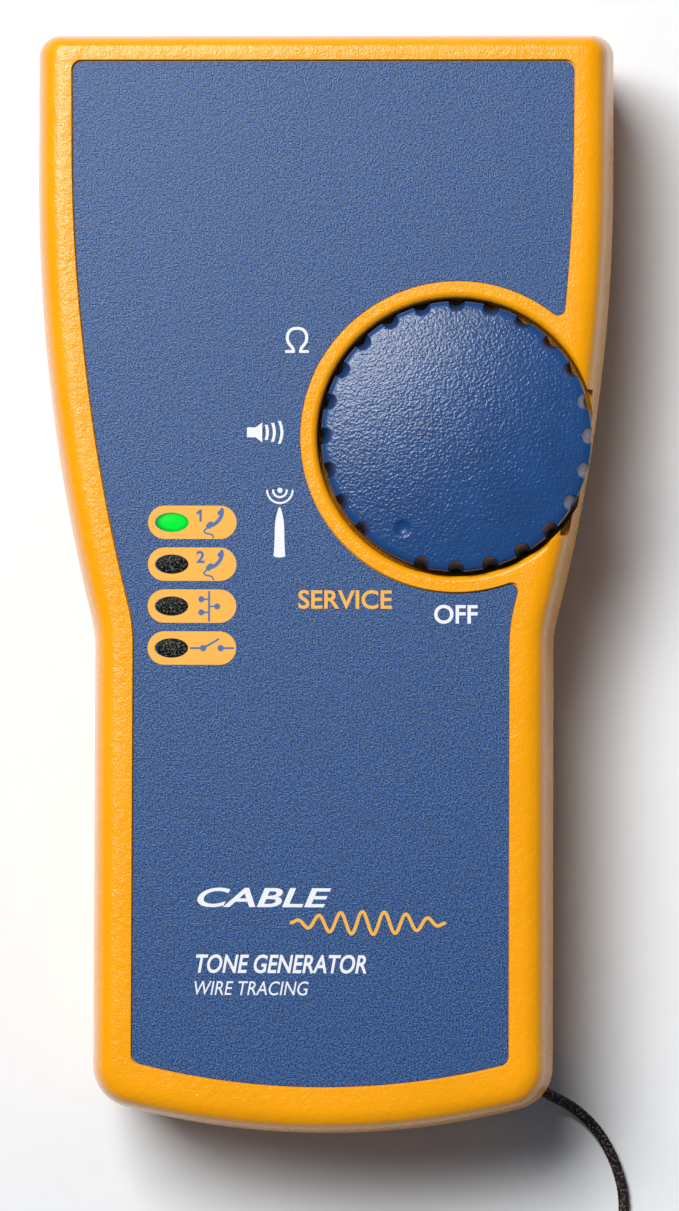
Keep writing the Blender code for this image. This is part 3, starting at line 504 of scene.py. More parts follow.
def lit_window(name):
    """A window with its lamp on: brightest over the lamp, deeper green round the rim."""
    look = Look(name)
    centre = LAMPS[0]
    half = (span(LENSES[0])[1] - span(LENSES[0])[0]) / 2
    spot = look.add("Mapping", "Vector", {
        "Vector": look.place(), "Location": (-centre.x / half.x, -centre.y / half.y, 0),
        "Scale": (1 / (half.x * MM), 1 / (half.y * MM), 0),
    }, vector_type="POINT")
    ball = look.add("TexGradient", "Fac", {"Vector": spot}, gradient_type="SPHERICAL")
    glow = look.blend(look.remap(ball, 0.0, 0.35), (0.0, 0.5, 0.02), (0.0, 1.0, 0.045))
    heights = [(look.noise(0.25), 0.01)]
    return look.finish((0.0, 0.06, 0.01), heights, 0.4, gloss=0.05, glow=glow, glow_strength=0.85)


def braid(name):
    """Dark braided cord flecked with brown and grey threads."""
    look = Look(name)
    threads = look.noise(0.35, 3.0, 0.7)
    warm = look.remap(look.noise(0.5), 0.35, 0.65)
    base = look.blend(warm, (0.002, 0.002, 0.004), (0.012, 0.007, 0.006))
    tone = look.blend(look.remap(threads, 0.53, 0.59, 0.0, 0.85), base, (0.19, 0.14, 0.12))
    return look.finish(tone, [(threads, 0.05)], 0.75, gloss=0.2, sheen=0.05, sheen_rough=0.4)


def pit_shaded_foam(name, colour):
    """Open foam: its cell pits painted darker as shade, between paler walls."""
    look = Look(name)
    cells = look.noise(0.5, 4.0, 0.8)
    # Painted shade: the pitted low parts of the cells take the darker colour.
    tone = look.blend(look.remap(cells, 0.35, 0.6), shade(colour, 0.4), colour)
    return look.finish(tone, [(cells, 0.15)], 0.95)


def circuit_board(name, colour):
    """Solder mask over a pattern of copper tracks."""
    look = Look(name)
    waves = look.add("TexWave", "Fac", {
        "Vector": look.place(), "Scale": 90.0, "Distortion": 6.0, "Detail": 1.0,
    })
    tracks = look.remap(waves, 0.7, 0.74, 0.0, 0.6)
    tone = look.blend(tracks, colour, (0.10, 0.30, 0.10))
    return look.finish(tone, [(tracks, 0.03), (look.noise(0.6, 1.0), 0.01)], 0.35)


YELLOW = moulded("case_yellow", (0.92, 0.36, 0.002), 0.2, 0.24, 0.05, 0.03, 0.36)
KNOB_BLUE = pebbled("knob_blue", (0.012, 0.056, 0.185))
FILM = label_film("panel_blue", (0.0165, 0.063, 0.188))
WHITE_INK = ink("print_white", (0.78, 0.8, 0.84))
AMBER_INK = ink("print_amber", (0.84, 0.41, 0.04))
BLUE_INK = ink("print_blue", (0.05, 0.12, 0.33))
BLACK = moulded("black_plastic", (0.018, 0.018, 0.02), 0.42, 0.2, 0.01, 0.1)
GREY = moulded("grey_plastic", (0.22, 0.22, 0.23), 0.45, 0.3, 0.01, 0.08)
WHITE = moulded("white_plastic", (0.78, 0.78, 0.75), 0.4, 0.4, 0.006, 0.03)
STEEL = metal("steel", (0.62, 0.62, 0.6))
GOLD = metal("gold_plate", (0.9, 0.62, 0.26), 0.2, (1.0, 1.0, 4.0))
COPPER = metal("battery_copper", (0.66, 0.34, 0.17), 0.25, (8.0, 1.0, 8.0))
WRAP = moulded("battery_wrap", (0.02, 0.02, 0.024), 0.3, 1.2, 0.006, 0.1, 0.6)
GREEN = circuit_board("board_green", (0.012, 0.13, 0.05))
# The unlit lenses' paint: painted shade, with painted glints.
SHADE_PAINTED_LENS = shade_painted_window("clear_lens")
LIT_LENS = lit_window("lit_lens")
CORD = braid("cord_black")
FOAM = pit_shaded_foam("foam", (0.05, 0.05, 0.052))
RED = moulded("wire_red", (0.5, 0.015, 0.012), 0.4, 0.5, 0.004, 0.05)


# ---------------------------------------------------------------- camera, light and floor

CAMERA_PLACE = (17.88, -20.0, 600.0)
CAMERA_AIM = (1.88, -2.9, 14.5)
CAMERA_ROLL = 0.185
CAMERA_LENS = 135.35
KEY_PLACE = (-0.33, 0.43, 1.0)
KEY_AIM = (0.0, -0.01, 0.02)
KEY_SIZE = (0.58, 0.42)
KEY_POWER = 16.2


def make_camera():
    data = bpy.data.cameras.new("camera")
    data.lens = CAMERA_LENS
    data.clip_end = 10.0
    camera = linked("camera", data)
    place = Vector(CAMERA_PLACE) * MM
    ahead = (Vector(CAMERA_AIM) * MM - place).normalized()
    right = ahead.cross(Vector((0, 1, 0))).normalized()
    turn = Matrix((right, right.cross(ahead), -ahead)).transposed().to_4x4()
    roll = Matrix.Rotation(radians(CAMERA_ROLL), 4, "Z")
    camera.matrix_world = Matrix.Translation(place) @ turn @ roll
    bpy.context.scene.camera = camera


def make_light():
    data = bpy.data.lights.new("key_light", "AREA")
    data.shape = "RECTANGLE"
    data.size, data.size_y = KEY_SIZE
    data.energy = KEY_POWER
    data.color = (1.0, 0.99, 0.975)
    lamp = linked("key_light", data)
    lamp.location = KEY_PLACE
    ahead = Vector(KEY_AIM) - Vector(KEY_PLACE)
    lamp.rotation_euler = ahead.to_track_quat("-Z", "Y").to_euler()

    world = bpy.data.worlds.new("world")
    bpy.context.scene.world = world
    world.use_nodes = True
    background = world.node_tree.nodes["Background"]
    background.inputs["Color"].default_value = (0.55, 0.74, 1.0, 1.0)
    background.inputs["Strength"].default_value = 0.11
    bpy.context.scene.view_settings.view_transform = "Standard"


def make_floor():
    """A plain pale sheet for the object to lie on, a hair below it."""
    bm = bmesh.new()
    bmesh.ops.create_grid(bm, x_segments=8, y_segments=8, size=1.5)
    mesh = bpy.data.meshes.new("floor")
    bm.to_mesh(mesh)
    bm.free()
    look = Look("floor_white")
    paper = look.remap(look.noise(3.0, 3.0), 0.3, 0.7)
    tone = look.blend(paper, (0.815, 0.835, 0.855), (0.83, 0.85, 0.87))
    floor = make_object("floor", mesh, look.finish(tone, [], 0.9, gloss=0.15))
    floor.location.z = -0.00005


# ---------------------------------------------------------------- lanyard

COIL_X, COIL_Y = middle("lanyard_coil").xy
COIL_R = 7.7
BUNDLE_R = 1.43
COIL_TURN = 2120.0
FERRULE_LOW, FERRULE_HIGH = span("lanyard_ferrule")
FERRULE_X = (FERRULE_LOW.x + FERRULE_HIGH.x) / 2
STRAND_A_X = FERRULE_X + CORD_D / 2
STRAND_B_X = FERRULE_X - CORD_D / 2
FERRULE_END_Y = -87.8
STRAND_Z = 1.05
BRAID_PITCH = 1.3
HITCH_R = 2.0
PIN = middle("lanyard_pin")
AWAY, BACK = Vector((0, -1, 0)), Vector((0, 1, 0))


def coil_point(turned_by):
    """A point on the coil: six strands, laid clockwise, that slowly wind round each other."""
    theta = radians(70.0 - turned_by)
    phi = radians(-60.0 + turned_by / 6)
    reach = COIL_R + BUNDLE_R * cos(phi)
    off = abs((degrees(theta) - 90 + 180) % 360 - 180)
    hump = 0.45 * (0.5 + 0.5 * cos(pi * min(off / 60, 1)))
    ends = min(turned_by, COIL_TURN - turned_by)
    hump *= min(max((ends - 60) / 80, 0), 1)
    height = CORD_D / 2 + 0.02 + BUNDLE_R * (1 + sin(phi)) + hump
    return Vector((COIL_X + reach * cos(theta), COIL_Y + reach * sin(theta), height))


def bend_between(start, start_way, end, end_way, steps=10):
    """A cubic curve between two points that leaves and arrives in the given directions."""
    pull = (end - start).length * 0.39
    a, b = start + start_way.normalized() * pull, end - end_way.normalized() * pull
    points = []
    for i in range(steps + 1):
        t = i / steps
        u = 1 - t
        points.append(u**3 * start + 3 * u**2 * t * a + 3 * u * t**2 * b + t**3 * end)
    return points


def cord_line():
    """Centre line of the whole cord: out of the case, through the ferrule, round the coil, back."""
    line = smooth_line(CORD_ROUTE, 4)
    enter = Vector((STRAND_A_X, FERRULE_HIGH.y - 1.4, 1.0))
    line = line[:-1] + bend_between(line[-1], AWAY, enter, AWAY, 4)
    first, last = coil_point(0), coil_point(COIL_TURN)
    leave = Vector((STRAND_A_X, FERRULE_END_Y, STRAND_Z))
    line += bend_between(leave, AWAY, first, coil_point(1) - first)
    line += [coil_point(i * 5.0) for i in range(1, int(COIL_TURN / 5))]
    back = Vector((STRAND_B_X, FERRULE_END_Y, STRAND_Z))
    line += bend_between(last, last - coil_point(COIL_TURN - 1), back, BACK)
    line.append(Vector((STRAND_B_X, FERRULE_HIGH.y - 1.1, STRAND_Z)))
    return line


def even_steps(line, step):
    """The same line with points a fixed distance apart."""
    lengths = [0.0]
    for a, b in zip(line, line[1:]):
        lengths.append(lengths[-1] + (b - a).length)
    count = max(2, round(lengths[-1] / step))
    points, at = [], 0
    for i in range(count + 1):
        target = lengths[-1] * i / count
        while at < len(line) - 2 and lengths[at + 1] < target:
            at += 1
        run = lengths[at + 1] - lengths[at]
        points.append(line[at].lerp(line[at + 1], (target - lengths[at]) / run if run else 0))
    return points


def sweep(bm, line, radius_at, sides=20):
    """A closed tube along a line. radius_at takes the distance along and the angle around."""
    rings = []
    across = None
    along = 0.0
    for i, point in enumerate(line):
        way = (line[min(i + 1, len(line) - 1)] - line[max(i - 1, 0)]).normalized()
        if across is None:
            across = way.orthogonal().normalized()
        across = (across - across.dot(way) * way).normalized()
        up = way.cross(across)
        if i:
            along += (point - line[i - 1]).length
        ring = []
        for j in range(sides):
            angle = 2 * pi * j / sides
            radius = radius_at(along, angle)
            ring.append(point + radius * (cos(angle) * across + sin(angle) * up))
        rings.append(ring)
    add_rings(bm, rings)


def braided(along, angle):
    """Radius of the braided cord: raised diamonds where the threads cross."""
    turn = pi * along / BRAID_PITCH
    return CORD_D / 2 - 0.04 + 0.075 * abs(sin(2.5 * angle + turn) * cos(2.5 * angle - turn))


def whipped(along, angle):
    return 0.42 + 0.03 * sin(7 * along) * cos(3 * angle)


def tube(name, line, step, radius_at, sides=20):
    bm = bmesh.new()
    sweep(bm, even_steps(line, step), radius_at, sides)
    return from_bmesh(name, bm, CORD, 60)


def make_lanyard():
    line = cord_line()
    cord = tube("braided_cord", line, 0.16, braided)
    settle(cord, "case", "cord_black", "lanyard_cord", "lanyard_coil")

    # Two turns round the pin inside the corner, then out to where the free cord begins.
    wraps = []
    for i in range(97):
        angle = radians(-36 - 7.5 * i)
        rise = min(max((i - 18) / 60, 0), 1)
        x, y = PIN.x + HITCH_R * cos(angle), PIN.y + HITCH_R * sin(angle)
        wraps.append(Vector((x, y, 5.25 + 1.45 * rise)))
    start = wraps[-1] + Vector((0.12, -0.1, 0))
    root, root_way = Vector(CORD_ROUTE[0]), Vector((0.8, -0.6, -0.1))
    wraps += bend_between(start, Vector((0.3, -1, -0.2)), root, root_way, 5)
    hitch = tube("braided_hitch", wraps, 0.16, braided)
    settle(hitch, "case", "cord_black", "lanyard_hitch")

    # A whipping of the same cord where the strand leaves the corner.
    centre, way = Vector((26.75, -66.45, 5.0)), Vector((0.75, -0.55, -0.4)).normalized()
    side = way.orthogonal().normalized()
    other = way.cross(side)
    loops = []
    for i in range(41):
        angle = 2 * pi * i / 20
        round_it = 0.85 * (cos(angle) * side + sin(angle) * other)
        loops.append(centre + way * (i / 40 - 0.5) * 1.1 + round_it)
    knot = tube("cord_knot", loops, 0.12, whipped, 12)
    settle(knot, "case", "cord_black")

    low, high = FERRULE_LOW.copy(), FERRULE_HIGH.copy()
    low.y = FERRULE_END_Y
    ferrule = loft("crimped_ferrule", STEEL, [
        upright(rounded_box(low.xz, high.xz, 0.95 - inset, inset), y) for y, inset in (
            (low.y, 0.16), (low.y + 0.1, 0.05), (low.y + 0.35, 0.0), (low.y + 1.3, 0.0),
            (low.y + 1.6, 0.13), (low.y + 2.4, 0.16), (low.y + 2.9, 0.03), (high.y - 0.35, 0.0),
            (high.y - 0.1, 0.05), (high.y, 0.16),
        )
    ])
    settle(ferrule, "case", "steel", "lanyard_ferrule")

    [point * MM for point in even_steps(line, 1.0)]


# ---------------------------------------------------------------- case

# Height, inset at the flanks and inset at the top end.
FRONT_SKIN = [
    (16.3, 0.0, 0.0), (21.0, 0.5, 0.8), (25.0, 1.0, 1.45), (26.8, 1.35, 1.8), (27.9, 1.75, 2.1),
    (28.5, 2.2, 2.4), (28.85, 2.75, 2.75), (29.08, 3.4, 3.15), (29.17, 4.1, 3.7),
    (BEZEL_Z, 5.0, 4.5),
]
FRONT_CORE = [(15.5, 2.0), (21.0, 2.3), (24.6, 2.8), (26.4, 4.4)]
REAR_SKIN = [(0.0, 4.2), (0.3, 3.2), (1.2, 2.2), (3.0, 1.4), (8.0, 0.6), (PARTING_Z, 0.0)]
REAR_CORE = [(2.0, 4.6), (3.6, 3.5), (8.0, 2.6), (PARTING_Z + 0.5, 2.0)]
FLOOR_OF_RECESS = 28.7
RECESS_RIM = 0.16
THUMB_FLOOR_Z = 26.2
PAST = 40
BAY_HALF = 14.2
BAY_WALL = 1.2
DOOR_LOW_Y = -62.2
DOOR_TOP_Y = span("battery_door")[1].y
DOOR_SCREW = middle("door_screw")
HOOKS_X = (-9.5, 9.5)
POCKET_R = 3.4
POCKET_ANGLE = -36.0


def skin_levels(levels):
    """Evenly blended (height, inset, top inset) rows through the few that set the section."""
    rows = [(level[0], level[1], level[-1]) for level in levels]
    return [tuple(p) for p in smooth_line(rows, 5)]


def skin_rings(levels):
    """Rings of the outer skin, whose corners stay rounder than a plain inset would leave them."""
    rings = []
    for z, side, top in levels:
        corners = (max(TOP_CORNER_R - 0.45 * side, 1.3), max(BOTTOM_CORNER_R - 0.5 * side, 2.0))
        rings.append(lift(case_outline(side, top, side, corners), z))
    return rings


def core_rings(levels):
    """Rings of a shell's hollow, evenly inside the case's outline."""
    rings = []
    for z, inset in levels:
        corners = (max(TOP_CORNER_R - inset, 0.8), max(BOTTOM_CORNER_R - inset, 0.8))
        rings.append(lift(case_outline(inset, inset, inset, corners, 2), z))
    return rings


def discs(name, radius, places, low, high):
    return [disc(f"{name}_{i}", radius, place, low, high) for i, place in enumerate(places)]


def make_front_shell():
    levels = [level for level in skin_levels(FRONT_SKIN) if level[0] > 16.5]
    lip = [(16.3, 0.22, 0.22), (16.36, 0.1, 0.1)]
    shell = loft("front_cover", YELLOW, skin_rings(lip + levels))

    core = loft("front_core", None, core_rings(FRONT_CORE))
    blocks = [disc("well_block", RING_R, KNOB, WELL_UNDER_Z, PAST, 96)]
    blocks += discs("boss", 3.4, CASE_BOSSES, 16.3, PAST)
    blocks += discs("pillar", 2.4, BOARD_BOSSES, 18.3, PAST)
    carve(core, blocks)

    flare = [(0.0, FLOOR_OF_RECESS), (0.0, BEZEL_Z - RECESS_RIM)]
    flare += bead(0.0, BEZEL_Z, RECESS_RIM)[1:] + [(RECESS_RIM, BEZEL_Z + 3)]
    recess = [lift(label_outline(RECESS_INSETS, grow, 0.0), z) for grow, z in flare]
    well = [(0, WELL_FLOOR_Z), (WELL_R, WELL_FLOOR_Z), *bead(WELL_R, BEZEL_Z, 0.9)]
    well += [(WELL_R + 0.9, PAST), (0, PAST)]
    gap = []
    for grow, z in [(0.0, THUMB_FLOOR_Z), *bead(0.0, BEZEL_Z - 0.15, 1.2), (1.2, PAST)]:
        low, high = (THUMB_X - grow, THUMB_LOW_Y - grow), (44, THUMB_HIGH_Y + grow)
        gap.append(lift(rectangle(low, high), z))
    cutters = [
        core, loft("recess", None, recess), turned("well", None, well, (KNOB.x, KNOB.y, 0), 128),
        loft("thumb_gap", None, gap), disc("shaft_hole", 4.2, KNOB, 18, PAST),
    ]
    for i, place in enumerate(LAMPS):
        cutters.append(prism(f"lamp_{i}", None, ellipse(place, 2.4, 1.5, 48), 20, PAST))
    cutters += discs("pilot", 1.4, CASE_BOSSES, 0, 25.0)
    cutters += discs("small_pilot", 1.2, BOARD_BOSSES, 0, 24.5)
    carve(shell, cutters)
    weigh_normals(shell)
    settle(shell, "case", "case_yellow", "front_shell")


def make_rear_shell():
    levels = [level for level in skin_levels(REAR_SKIN) if level[0] < PARTING_Z - 0.2]
    lip = [(PARTING_Z - 0.08, 0.08, 0.08), (PARTING_Z, 0.22, 0.22)]
    shell = loft("rear_cover", YELLOW, skin_rings(levels + lip))

    core = loft("rear_core", None, core_rings(REAR_CORE))
    bay_low_y = span("battery_9v")[0].y - 0.4
    wall_y, wall_x = bay_low_y - BAY_WALL, BAY_HALF + BAY_WALL
    blocks = discs("tower", 3.9, CASE_BOSSES, -2, 15.9)
    blocks += [
        box("bay_wall_a", None, (-wall_x, wall_y, -2), (-BAY_HALF, -15, 14)),
        box("bay_wall_b", None, (BAY_HALF, wall_y, -2), (wall_x, -15, 14)),
        box("bay_end", None, (-wall_x, wall_y, -2), (wall_x, bay_low_y, 14)),
        box("door_frame", None, (-18.4, DOOR_LOW_Y - 2.4, -2), (18.4, DOOR_TOP_Y + 2.4, 3.2)),
        disc("door_tower", 3.6, DOOR_SCREW, -2, 12.5),
        disc("door_foot", 6.0, DOOR_SCREW, -2, 5.2),
        disc("lanyard_block", 5.0, PIN, -2, 12.2),
    ]
    carve(core, blocks)

    door_rings = [
        lift(rounded_box((-16, DOOR_LOW_Y), (16, DOOR_TOP_Y), 1.4 + gap, -gap), z)
        for z, gap in ((-2, 0.65), (0.0, 0.65), (0.25, 0.4), (1.7, 0.4))
    ]
    cutters = [
        core, box("bay_mouth", None, (-BAY_HALF, -61.6, -2), (BAY_HALF, -10.6, 6.2)),
        loft("door_recess", None, door_rings), disc("boss_hole", 4.6, DOOR_SCREW, -2, 3.6),
        disc("door_pilot", 1.75, DOOR_SCREW, -2, 11.0),
    ]
    for x in HOOKS_X:
        cutters.append(box(f"tab_slot_{x}", None, (x - 2.9, -64.9, 1.4), (x + 2.9, -60, 6.2)))
    head_hole = [(0, -2), (3.25, -2), (3.25, 0.0), (2.9, 0.35), (2.9, 7.5), (0, 7.5)]
    for i, place in enumerate(CASE_BOSSES):
        cutters.append(turned(f"head_hole_{i}", None, head_hole, (*place, 0), 48))
        cutters.append(disc(f"shank_hole_{i}", 1.5, place, 0, 17))
    for name in ("network_jack", "coax_housing", "phone_jack"):
        low, high = span(name)
        low, high = (low.x - 0.3, 60, 3.0), (high.x + 0.3, 75, PARTING_Z + 1)
        cutters.append(box(f"{name}_window", None, low, high))
    carve(shell, cutters + lanyard_pocket())
    weigh_normals(shell)
    settle(shell, "case", "case_yellow", "rear_shell")


def lanyard_pocket():
    """Cutters for the slot in the corner, with a round end about the pin, and for the pin."""
    way = Vector((cos(radians(POCKET_ANGLE)), sin(radians(POCKET_ANGLE))))
    aside, mouth = Vector((-way.y, way.x)) * POCKET_R, PIN.xy + way * 9.0
    outline = arc(PIN.x, PIN.y, POCKET_R, POCKET_ANGLE + 90, POCKET_ANGLE + 270, 20)
    outline += [tuple(mouth - aside), tuple(mouth + aside)]
    return [prism("pocket", None, outline, 3.5, 9.0), disc("pin_hole", 1.3, PIN, 2.2, 10.7)]


# ---------------------------------------------------------------- printed label

PRINT_LOW = PANEL_Z - 0.01
PRINT_SHIFT = -0.15
LAMP_HOLE = (2.12, 1.22)


def make_label():
    rings = [
        lift(label_outline(LABEL_INSETS, grow, 0.1), z)
        for z, grow in ((FLOOR_OF_RECESS + 0.01, 0.0), (PANEL_Z - 0.04, 0.0), (PANEL_Z, -0.05))
    ]
    label = loft("label", FILM, rings)
    carve(label, [
        prism(f"label_hole_{i}", None, ellipse(place, *LAMP_HOLE, 48), 27, 30)
        for i, place in enumerate(LAMPS)
    ])
    settle(label, "case", "panel_blue", "front_panel")


class Print:
    """A layer of ink on the label, drawn shape by shape. Each may stand a little higher."""

    def __init__(self, above=0.0, thick=0.04):
        self.bm = bmesh.new()
        self.low = PRINT_LOW + above
        self.high = self.low + thick

    def flat(self, outline, higher=0.0):
        add_flat(self.bm, outline, self.low, self.high + higher)

    def stroke(self, points, width, higher=0.0):
        """A line of a given width with round ends."""
        points = [Vector(p) for p in points]
        left, right = [], []
        for i, point in enumerate(points):
            way = (points[min(i + 1, len(points) - 1)] - points[max(i - 1, 0)]).normalized()
            across = Vector((-way.y, way.x)) * width / 2
            left.append(tuple(point + across))
            right.append(tuple(point - across))
        start = bearing_of(Vector(left[0]) - points[0])
        end = bearing_of(Vector(right[-1]) - points[-1])
        first = arc(*points[0], width / 2, start, start + 180, 8)[1:-1]
        last = arc(*points[-1], width / 2, end, end + 180, 8)[1:-1]
        self.flat(first + right + last + left[::-1], higher)

    def pierced(self, outline, hole):
        """A plate with one hole: both faces, and the walls between them."""
        sides = ([], [])
        for z in (self.low, self.high):
            edges = []
            for side, points in zip(sides, (outline, hole)):
                verts = [self.bm.verts.new((x, y, z)) for x, y in points]
                edges += [self.bm.edges.new(pair) for pair in zip(verts, verts[1:] + verts[:1])]
                side.append(verts)
            bmesh.ops.triangle_fill(self.bm, edges=edges, use_beauty=True)
        for side in sides:
            add_band(self.bm, *side)

    def done(self, name, paint, slot):
        bmesh.ops.translate(self.bm, verts=self.bm.verts, vec=(PRINT_SHIFT, 0.0, 0.0))
        settle(from_bmesh(name, self.bm, paint), "case", slot)


def lettering(name, text, paint, slot, low, high, weight, slant=0.0):
    """Generic wording set between two corners, as a thin layer of ink."""
    curve = bpy.data.curves.new(name, "FONT")
    curve.body = text
    curve.offset = weight
    curve.shear = slant
    curve.extrude = 0.01
    curve.resolution_u = 6
    helper = linked(name + "_curve", curve)
    bpy.context.view_layer.update()
    mesh = evaluated_mesh(helper)
    remove([helper])
    xs = [v.co.x for v in mesh.vertices]
    ys = [v.co.y for v in mesh.vertices]
    scale_x = (high[0] - low[0]) / (max(xs) - min(xs))
    scale_y = (high[1] - low[1]) / (max(ys) - min(ys))
    for v in mesh.vertices:
        x = low[0] + (v.co.x - min(xs)) * scale_x + PRINT_SHIFT
        y = low[1] + (v.co.y - min(ys)) * scale_y
        v.co = Vector((x, y, PRINT_LOW + (0.04 if v.co.z > 0 else 0.0))) * MM
    mesh.materials.clear()
    settle(make_object(name, mesh, paint), "case", slot)


def make_dial_symbols():
    """White marks round the selector: resistance, a sounder and a probe."""
    ohm = Print()
    cx, foot_y = -3.03, 28.46
    bowl = [(0.44, 0.2), (0.55, 0.62), (0.86, 0.98), (1.14, 1.42), (1.22, 1.95), (1.1, 2.5),
            (0.72, 2.94), (0.0, 3.1)]
    ohm.stroke([(cx + x, foot_y + y) for x, y in smooth_plan(mirrored(bowl), 4)], 0.37)
    for left, right in ((-1.48, -0.28), (0.28, 1.48)):
        ohm.flat(rectangle((cx + left, foot_y), (cx + right, foot_y + 0.34)), 0.01)
    ohm.done("ohm_mark", WHITE_INK, "white_plastic")

    sounder = Print()
    cy = 18.44
    horn = [(-9.28, 0.62), (-8.2, 0.62), (-7.37, 1.25)]
    sounder.flat([(x, cy - y) for x, y in horn] + [(x, cy + y) for x, y in horn[::-1]])
    for x, half, bulge in ((-6.86, 0.95, 0.16), (-6.07, 1.2, 0.24), (-5.2, 1.42, 0.32)):
        crest = [(x + bulge * (1 - t * t), cy + half * t) for t in (-1 + i / 6 for i in range(13))]
        outer = [(px + 0.17, py) for px, py in crest]
        sounder.flat(outer + [(px - 0.2, py) for px, py in crest[::-1]])
    sounder.done("sounder_mark", WHITE_INK, "white_plastic")

    probe = Print()
    cx, cy = -5.12, 11.15
    probe.flat(circle(cx, cy, 0.33, 20))
    probe.stroke(arc(cx, cy, 0.86, -180, 0, 24), 0.26)
    probe.stroke(arc(cx, cy, 1.6, -178, -2, 24), 0.25)
    body = [(0.1, 8.98), (0.2, 8.7), (0.42, 7.9), (0.56, 7.0), (0.6, 6.0), (0.62, 4.9),
            (0.66, 3.8), (0.74, 2.85), (0.45, 2.74), (0.0, 2.7)]
    probe.flat([(cx - 0.03 + x, y) for x, y in [(0.0, 9.02), *mirrored(body)]])
    probe.done("probe_mark", WHITE_INK, "white_plastic")


def near(lamp, points):
    """Points given from the middle of a lamp."""
    return [(LAMPS[lamp].x + x, LAMPS[lamp].y + y) for x, y in points]


def make_lamp_badges():
    """Amber lozenges round the lamps, each with a blue symbol."""
    badges = Print(thick=0.03)
    for lamp, place in enumerate(LAMPS):
        lozenge = arc(6.05, 0, 2.1, -90, 90, 20) + arc(-0.9, 0, 2.1, 90, 270, 20)
        badges.pierced(near(lamp, lozenge), ellipse(place, *LAMP_HOLE, 40))
    badges.done("lamp_badges", AMBER_INK, "white_plastic")

    symbols = Print(0.01)
    handset = [(6.3, 1.6), (6.28, 1.0), (5.95, 0.35), (5.35, -0.22), (4.55, -0.5)]
    lead = [(4.32, -0.8), (4.08, -1.05), (4.25, -1.35), (4.75, -1.45), (5.1, -1.6), (5.26, -1.92)]
    for lamp, line, width, higher in (
        *[(lamp, *row) for lamp in (0, 1) for row in (
            (smooth_plan(handset, 6), 0.46, 0.0), ([(6.28, 1.42), (5.98, 1.18)], 0.5, 0.01),
            ([(4.9, -0.2), (4.62, -0.5)], 0.66, 0.01), (smooth_plan(lead, 5), 0.2, 0.0),
        )],
        (2, [(4.73, 1.8), (4.73, -1.82)], 0.25, 0.0),
        (2, [(4.73, 0.88), (3.75, 0.88)], 0.2, -0.008),
        (2, [(4.73, -0.78), (3.75, -0.78)], 0.2, -0.008),
        (2, [(4.73, -0.02), (5.74, -0.02)], 0.2, -0.008), (3, [(2.42, 0), (4.0, 0)], 0.24, 0.0),
        (3, [(4.0, 0), (5.92, 1.12)], 0.25, -0.008), (3, [(6.2, 0), (7.8, 0)], 0.24, 0.0),
    ):
        symbols.stroke(near(lamp, line), width, higher)
    for lamp, x, y, radius in (
        (2, 3.75, 0.88, 0.38), (2, 3.75, -0.78, 0.38), (2, 5.74, -0.02, 0.38),
        (3, 4.0, 0, 0.4), (3, 6.2, 0, 0.4),
    ):
        symbols.flat(near(lamp, circle(x, y, radius, 20)), 0.01)
    symbols.done("lamp_symbols", BLUE_INK, "panel_blue")

    one = Print(0.01)
    one.flat(near(0, [(3.46, 0.1), (3.46, 1.12), (3.1, 0.98), (3.1, 1.24), (3.52, 1.62),
                      (3.76, 1.62), (3.76, 0.1)]))
    one.done("lamp_digit_1", BLUE_INK, "panel_blue")
    low, high = near(1, [(3.1, 0.15), (4.15, 1.7)])
    lettering("lamp_digit_2", "2", BLUE_INK, "panel_blue", low, high, 0.03)


def make_wording():
    for name, text, paint, low, high, weight, slant in (
        ("word_service", "SERVICE", AMBER_INK, (-2.75, -3.75), (9.0, -1.38), 0.018, 0.0),
        ("word_off", "OFF", WHITE_INK, (14.3, -5.58), (19.75, -3.2), 0.018, 0.0),
        ("word_type", "CABLE", WHITE_INK, (-15.3, -41.2), (1.5, -38.75), 0.018, 0.25),
        ("word_tone", "TONE GENERATOR", WHITE_INK, (-15.45, -49.45), (5.95, -47.1), 0.018, 0.22),
        ("word_use", "WIRE TRACING", WHITE_INK, (-15.6, -52.2), (-1.3, -50.45), 0.0, 0.22),
    ):
        lettering(name, text, paint, "white_plastic", low, high, weight, slant)

    # An amber burst of tone, drawn as a wave that swells and fades.
    wave = Print()
    line = []
    for i in range(241):
        t = i / 240
        height = 1.42 * sin(pi * t) ** 0.7
        line.append((-3.5 + 19.2 * t, -43.1 + height * sin(2 * pi * 7 * t)))
    wave.stroke(line, 0.42)
    wave.done("tone_wave", AMBER_INK, "white_plastic")


def make_lenses():
    """Domed ends of the light pipes, flush in the label; the first has its lamp on."""
    for i, name in enumerate(LENSES):
        low, high = span(name)
        half = (high - low) / 2
        rings = []
        for z, inset in (
            (low.z, 0.25), (low.z + 0.3, 0.0), (PANEL_Z - 0.12, 0.0), (PANEL_Z - 0.02, 0.06),
            (PANEL_Z + 0.05, 0.3), (PANEL_Z + 0.12, 0.8), (PANEL_Z + 0.15, 1.12),
        ):
            share = max(1 - inset / half.y, 0.03)
            rings.append(lift(ellipse(LAMPS[i], half.x * share, half.y * share, 56), z))
        # Unlit lenses get the paint of near-black painted shade and painted glints.
        paint, slot = (LIT_LENS, "lit_lens") if i == 0 else (SHADE_PAINTED_LENS, "clear_lens")
        settle(loft(f"lens_{i + 1}", paint, rings, 40), "case", slot, name)


# ---------------------------------------------------------------- knob

RIM_Z = 30.62
CROWN_HEIGHT = 1.28
CROWN_R = 15.25
POINTER_R = 13.4
DIMPLE_R = 1.05


def from_knob(radius, bearing):
    """The point at a distance and a bearing in degrees from the knob's middle."""
    return KNOB.x + radius * cos(radians(bearing)), KNOB.y + radius * sin(radians(bearing))


